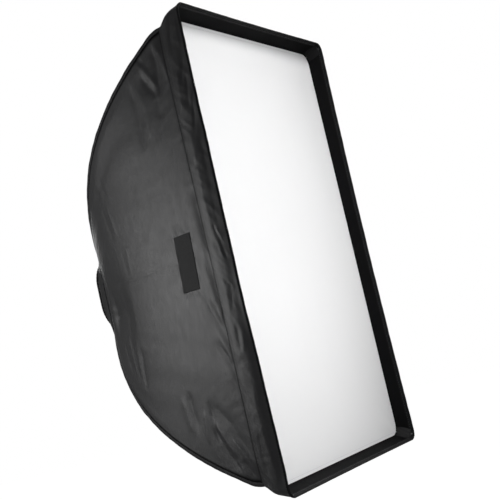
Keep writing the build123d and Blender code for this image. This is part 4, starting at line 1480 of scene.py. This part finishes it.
def build_collar_elastic():
    """Elastic tape round the collar's edge, open at the slot for the brake screw."""
    slot = np.where((COLLAR_X > 0) & (np.abs(COLLAR_Z) < SLOT_HALF))[0]
    n = COLLAR_LINE.count
    order = (slot[-1] + 1 + np.arange(n - len(slot))) % n
    turn = np.linspace(0, 2 * np.pi, 12, endpoint=False)
    cos, sin = np.cos(turn), np.sin(turn)
    # a squarish section, 4.2 mm wide and 1.6 mm thick
    height = 0.0021 * np.sign(cos) * np.abs(cos) ** 0.6
    depth = 0.0008 * np.sign(sin) * np.abs(sin) ** 0.6
    ribs = 0.00025 * np.cos(70 * COLLAR_ANGLE[order])[:, None]
    off = 0.0017 + depth + ribs
    points = np.stack([COLLAR_X[order][:, None] + COLLAR_OUT_X[order][:, None] * off,
                       np.broadcast_to(-0.0098 + height, off.shape),
                       COLLAR_Z[order][:, None] + COLLAR_OUT_Z[order][:, None] * off], -1)
    ob = sweep("collar_elastic", points, np.arange(len(order)) * 0.0012, step=0.0008,
               mat=ELASTIC, sharp=60)
    place(ob, "binding_cloth", "softbox", "cuff_elastic")


build_collar()
build_collar_elastic()


# =====================================================================
# corner pockets: a stitched gusset over each rod cap
# =====================================================================
def build_gussets():
    rows, cols = 13, 15
    front, depth = 0.0045, 0.0275            # behind the rim
    wall_gap, thickness = 0.0022, 0.0012
    diagonal = 0.707                         # share of a diagonal step in x and in z
    i = np.arange(rows)[:, None]
    f = (np.arange(cols) / (cols - 1))[None, :]
    behind = front + depth * i / (rows - 1)
    r = radius_at(behind)
    swell = np.sin(np.pi * i / (rows - 1))
    leg = 0.0165 + 0.002 * swell             # reach along each wall
    bulge = 0.0016 * np.sin(np.pi * f) * (0.6 + 0.4 * swell)
    y = behind + RIM_Y + 0.0006 * np.sin(f * np.pi)
    verts, faces = [], []
    for number, (sx, sz) in enumerate(CORNERS.values()):
        wrinkle = 0.0004 * np.sin(f * 19 + i * 0.7 + sx)
        for lift in (0, diagonal * thickness):
            out = diagonal * (bulge - wrinkle) + lift
            x = r * CORNER_X - wall_gap - leg * f + out
            z = r * CORNER_Z - wall_gap - leg * (1 - f) + out
            verts.append(np.stack([sx * x, y, sz * z], -1).reshape(-1, 3))
        faces.append(shell_faces(rows, cols, False, base=number * 2 * rows * cols,
                                 turn_rims=False))
    verts = np.concatenate(verts)
    ob = add_mesh("corner_gussets", verts, np.concatenate(faces), verts[:, [0, 1]],
                  [POCKET_CLOTH], sharp=60)
    face_outwards(ob)
    place(ob, "outer_cloth", "softbox", "corner_pockets")


build_gussets()

# =====================================================================
# blank woven patch on the left panel
# =====================================================================
LEFT_COLS = np.where(SKIN_LINE.side == LEFT)[0]
PATCH_Z = np.linspace(-0.057, 0.048, 60)
PATCH_BACK = np.linspace(0.0480, 0.1010, 34)
PATCH_TILT = -0.05
PATCH_MIDDLE_Z = -0.0045
PATCH_LIFT, PATCH_THICKNESS = 0.00085, 0.0007


def skin_point(z, back):
    """Point and normal on the folded left panel."""
    rows_back = SKIN_BACK[:, LEFT_COLS[len(LEFT_COLS) // 2]]
    row = np.interp(-back, -rows_back, np.arange(SKIN_ROWS))
    i = int(np.clip(np.floor(row), 0, SKIN_ROWS - 2))
    fi = row - i
    cols_z = SKIN_BASE[i, LEFT_COLS, 2] * (1 - fi) + SKIN_BASE[i + 1, LEFT_COLS, 2] * fi
    col = np.interp(-z, -cols_z, np.arange(len(LEFT_COLS)))
    j = int(np.clip(np.floor(col), 0, len(LEFT_COLS) - 2))
    fj = col - j
    a, b = LEFT_COLS[j], LEFT_COLS[j + 1]

    def blend(grid):
        return (grid[i, a] * (1 - fi) * (1 - fj) + grid[i + 1, a] * fi * (1 - fj)
                + grid[i, b] * (1 - fi) * fj + grid[i + 1, b] * fi * fj)

    normal = blend(SKIN_NORMALS)
    return blend(SKIN), normal / np.linalg.norm(normal)


def build_patch():
    shape = (len(PATCH_Z), len(PATCH_BACK))
    top, under = np.zeros((*shape, 3)), np.zeros((*shape, 3))
    for i, z in enumerate(PATCH_Z):
        for j, back in enumerate(PATCH_BACK):
            point, normal = skin_point(z, back + PATCH_TILT * (z - PATCH_MIDDLE_Z))
            # the outermost points are pressed down to the skin
            edge = i in (0, shape[0] - 1) or j in (0, shape[1] - 1)
            lift = PATCH_LIFT * (0.45 if edge else 1)
            top[i, j] = point + normal * lift
            under[i, j] = point + normal * (lift - PATCH_THICKNESS * (0.6 if edge else 1))
    uv = np.stack(np.meshgrid(PATCH_Z, PATCH_BACK, indexing="ij"), -1)
    ob = shell("blank_patch", top, under, False, [PATCH_CLOTH], uv)
    face_outwards(ob)
    place(ob, "patch_cloth", "softbox", "label_patch")


build_patch()

# =====================================================================
# finishes of the CAD hardware that is kept as it is
# =====================================================================
HARDWARE_FINISHES = [
    (CAST_BLACK, ["speed_ring"]),
    (TURNED_ALUMINIUM, ["bayonet_insert", "clip_a", "clip_b", "clip_c"]),
    (ZINC, ["clip_screws", "thumbscrew_stud", "rod_ferrules"]),
    (BLACK_PLASTIC, ["thumbscrew_knob", "rod_end_caps", "strap_snaps", "tab_studs"]),
    (NYLON_PAD, ["brake_shoe"]),
    (ROD_STEEL, ["rod_" + corner for corner in CORNERS]),
]
for finish, nodes in HARDWARE_FINISHES:
    for node_name in nodes:
        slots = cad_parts[node_name].data.materials
        slots.clear()
        slots.append(finish)


# =====================================================================
# floor and world
# =====================================================================
def floor_material():
    """Pale floor; seen directly it glows like the backdrop, so there is no horizon."""
    m = Shader("floor_pale")
    patches = m.noise(m.object_place(), scale=2.0, detail=2)
    m.set(Base_Color=m.mix(patches, (0.40, 0.40, 0.40), (0.43, 0.43, 0.43)), Roughness=0.9,
          Specular_IOR_Level=0.05)
    glow = m.node("ShaderNodeEmission")
    glow.inputs["Strength"].default_value = 0.96
    both = m.node("ShaderNodeAddShader")
    seen = m.node("ShaderNodeMixShader")
    m.link(m.bsdf.outputs[0], both.inputs[0])
    m.link(glow.outputs[0], both.inputs[1])
    m.link(m.node("ShaderNodeLightPath").outputs["Is Camera Ray"], seen.inputs[0])
    m.link(m.bsdf.outputs[0], seen.inputs[1])
    m.link(both.outputs[0], seen.inputs[2])
    m.link(seen.outputs[0], m.output.inputs["Surface"])
    return m.material


def build_floor():
    """Flat disc of rings round a middle point."""
    height, spokes, centre_y = -1.05, 72, -0.2
    radii = (0.6, 1.5, 3.0, 6.0, 12.0)
    mat = floor_material()
    verts = [(0, 0, height)]
    for radius in radii:
        for i in range(spokes):
            angle = 2 * math.pi * i / spokes
            verts.append((radius * math.cos(angle), radius * math.sin(angle) + centre_y,
                          height))
    faces = [(0, 1 + i, 1 + (i + 1) % spokes) for i in range(spokes)]
    for ring in range(len(radii) - 1):
        for i in range(spokes):
            a, b = 1 + ring * spokes + i, 1 + ring * spokes + (i + 1) % spokes
            faces.append((a, a + spokes, b + spokes, b))
    me = bpy.data.meshes.new("floor")
    me.from_pydata(verts, [], faces)
    me.materials.append(mat)
    add_object("floor", me)


def build_world():
    """White to the camera, dim to everything else."""
    world = bpy.data.worlds.new("studio")
    bpy.context.scene.world = world
    world.use_nodes = True
    nodes, links = world.node_tree.nodes, world.node_tree.links
    nodes.clear()
    output = nodes.new("ShaderNodeOutputWorld")
    mix = nodes.new("ShaderNodeMixShader")
    path = nodes.new("ShaderNodeLightPath")
    links.new(path.outputs["Is Camera Ray"], mix.inputs[0])
    lighting_strength, camera_strength = 0.13, 1.0
    for socket, strength in ((1, lighting_strength), (2, camera_strength)):
        background = nodes.new("ShaderNodeBackground")
        background.inputs["Color"].default_value = (1, 1, 1, 1)
        background.inputs["Strength"].default_value = strength
        links.new(background.outputs[0], mix.inputs[socket])
    links.new(mix.outputs[0], output.inputs["Surface"])


build_floor()
build_world()

# =====================================================================
# lights and camera
# =====================================================================
# name, location, target, (width, height), watts
AREA_LIGHTS = [
    ("sheen", (-0.98, 1.36, 0.10), (-0.2, -0.25, -0.02), (0.40, 0.36), 9),
    ("front", (-0.40, -1.95, -0.10), (-0.04, -0.48, -0.03), (0.9, 0.9), 4),
    ("front_high", (-0.25, -1.45, 1.35), (-0.05, -0.45, 0.0), (0.5, 0.5), 15),
    ("front_left", (-2.2, -1.9, 0.9), (0.0, -0.3, 0.05), (1.4, 1.4), 9),
    ("overhead", (-0.2, -0.3, 2.6), (0.0, -0.3, 0.0), (1.6, 1.6), 9),
    ("rear_right", (2.0, 1.8, 1.0), (0.0, -0.1, 0.0), (1.4, 1.4), 20),
    ("right", (2.6, -1.0, 0.3), (0.0, -0.3, 0.0), (1.2, 1.2), 8),
]
# name, location, target, cone in degrees, watts
SPOT_LIGHTS = [
    ("front_spot", (-0.16, -2.2, 0.20), (-0.05, -0.48, 0.03), 40, 68),
    ("front_low", (-0.75, -1.9, -0.50), (-0.24, -0.48, -0.30), 34, 21),
]


def add_light(name, kind, location, target, watts):
    light = bpy.data.lights.new(name, kind)
    light.energy = watts
    ob = add_object(name, light)
    ob.location = location
    ob.rotation_mode = "QUATERNION"
    ob.rotation_quaternion = (Vector(target) - Vector(location)).to_track_quat("-Z", "Y")
    return light


def build_lights():
    for name, location, target, size, watts in AREA_LIGHTS:
        light = add_light(name, "AREA", location, target, watts)
        light.shape = "RECTANGLE"
        light.size, light.size_y = size
    for name, location, target, cone, watts in SPOT_LIGHTS:
        light = add_light(name, "SPOT", location, target, watts)
        light.spot_size = math.radians(cone)
        light.spot_blend = 1.0
        light.shadow_soft_size = 0.2


def build_camera():
    """Camera in front and to the left, slightly below the middle, looking a little up."""
    camera = bpy.data.cameras.new("camera")
    camera.lens = 81.27
    camera.sensor_width = 36
    forward = Vector((0.87417, 0.47707, 0.09072)).normalized()
    right = Vector((0.48463, -0.84513, -0.22560)).normalized()
    up = right.cross(forward).normalized()
    right = forward.cross(up).normalized()
    ob = add_object("camera", camera)
    ob.rotation_mode = "QUATERNION"
    ob.rotation_quaternion = Matrix((right, up, -forward)).transposed().to_quaternion()
    ob.location = (-2.01298, -1.44859, -0.19449)
    bpy.context.scene.camera = ob


build_lights()
build_camera()
bpy.context.scene.view_settings.view_transform = "Standard"
bpy.context.scene.view_settings.look = "None"
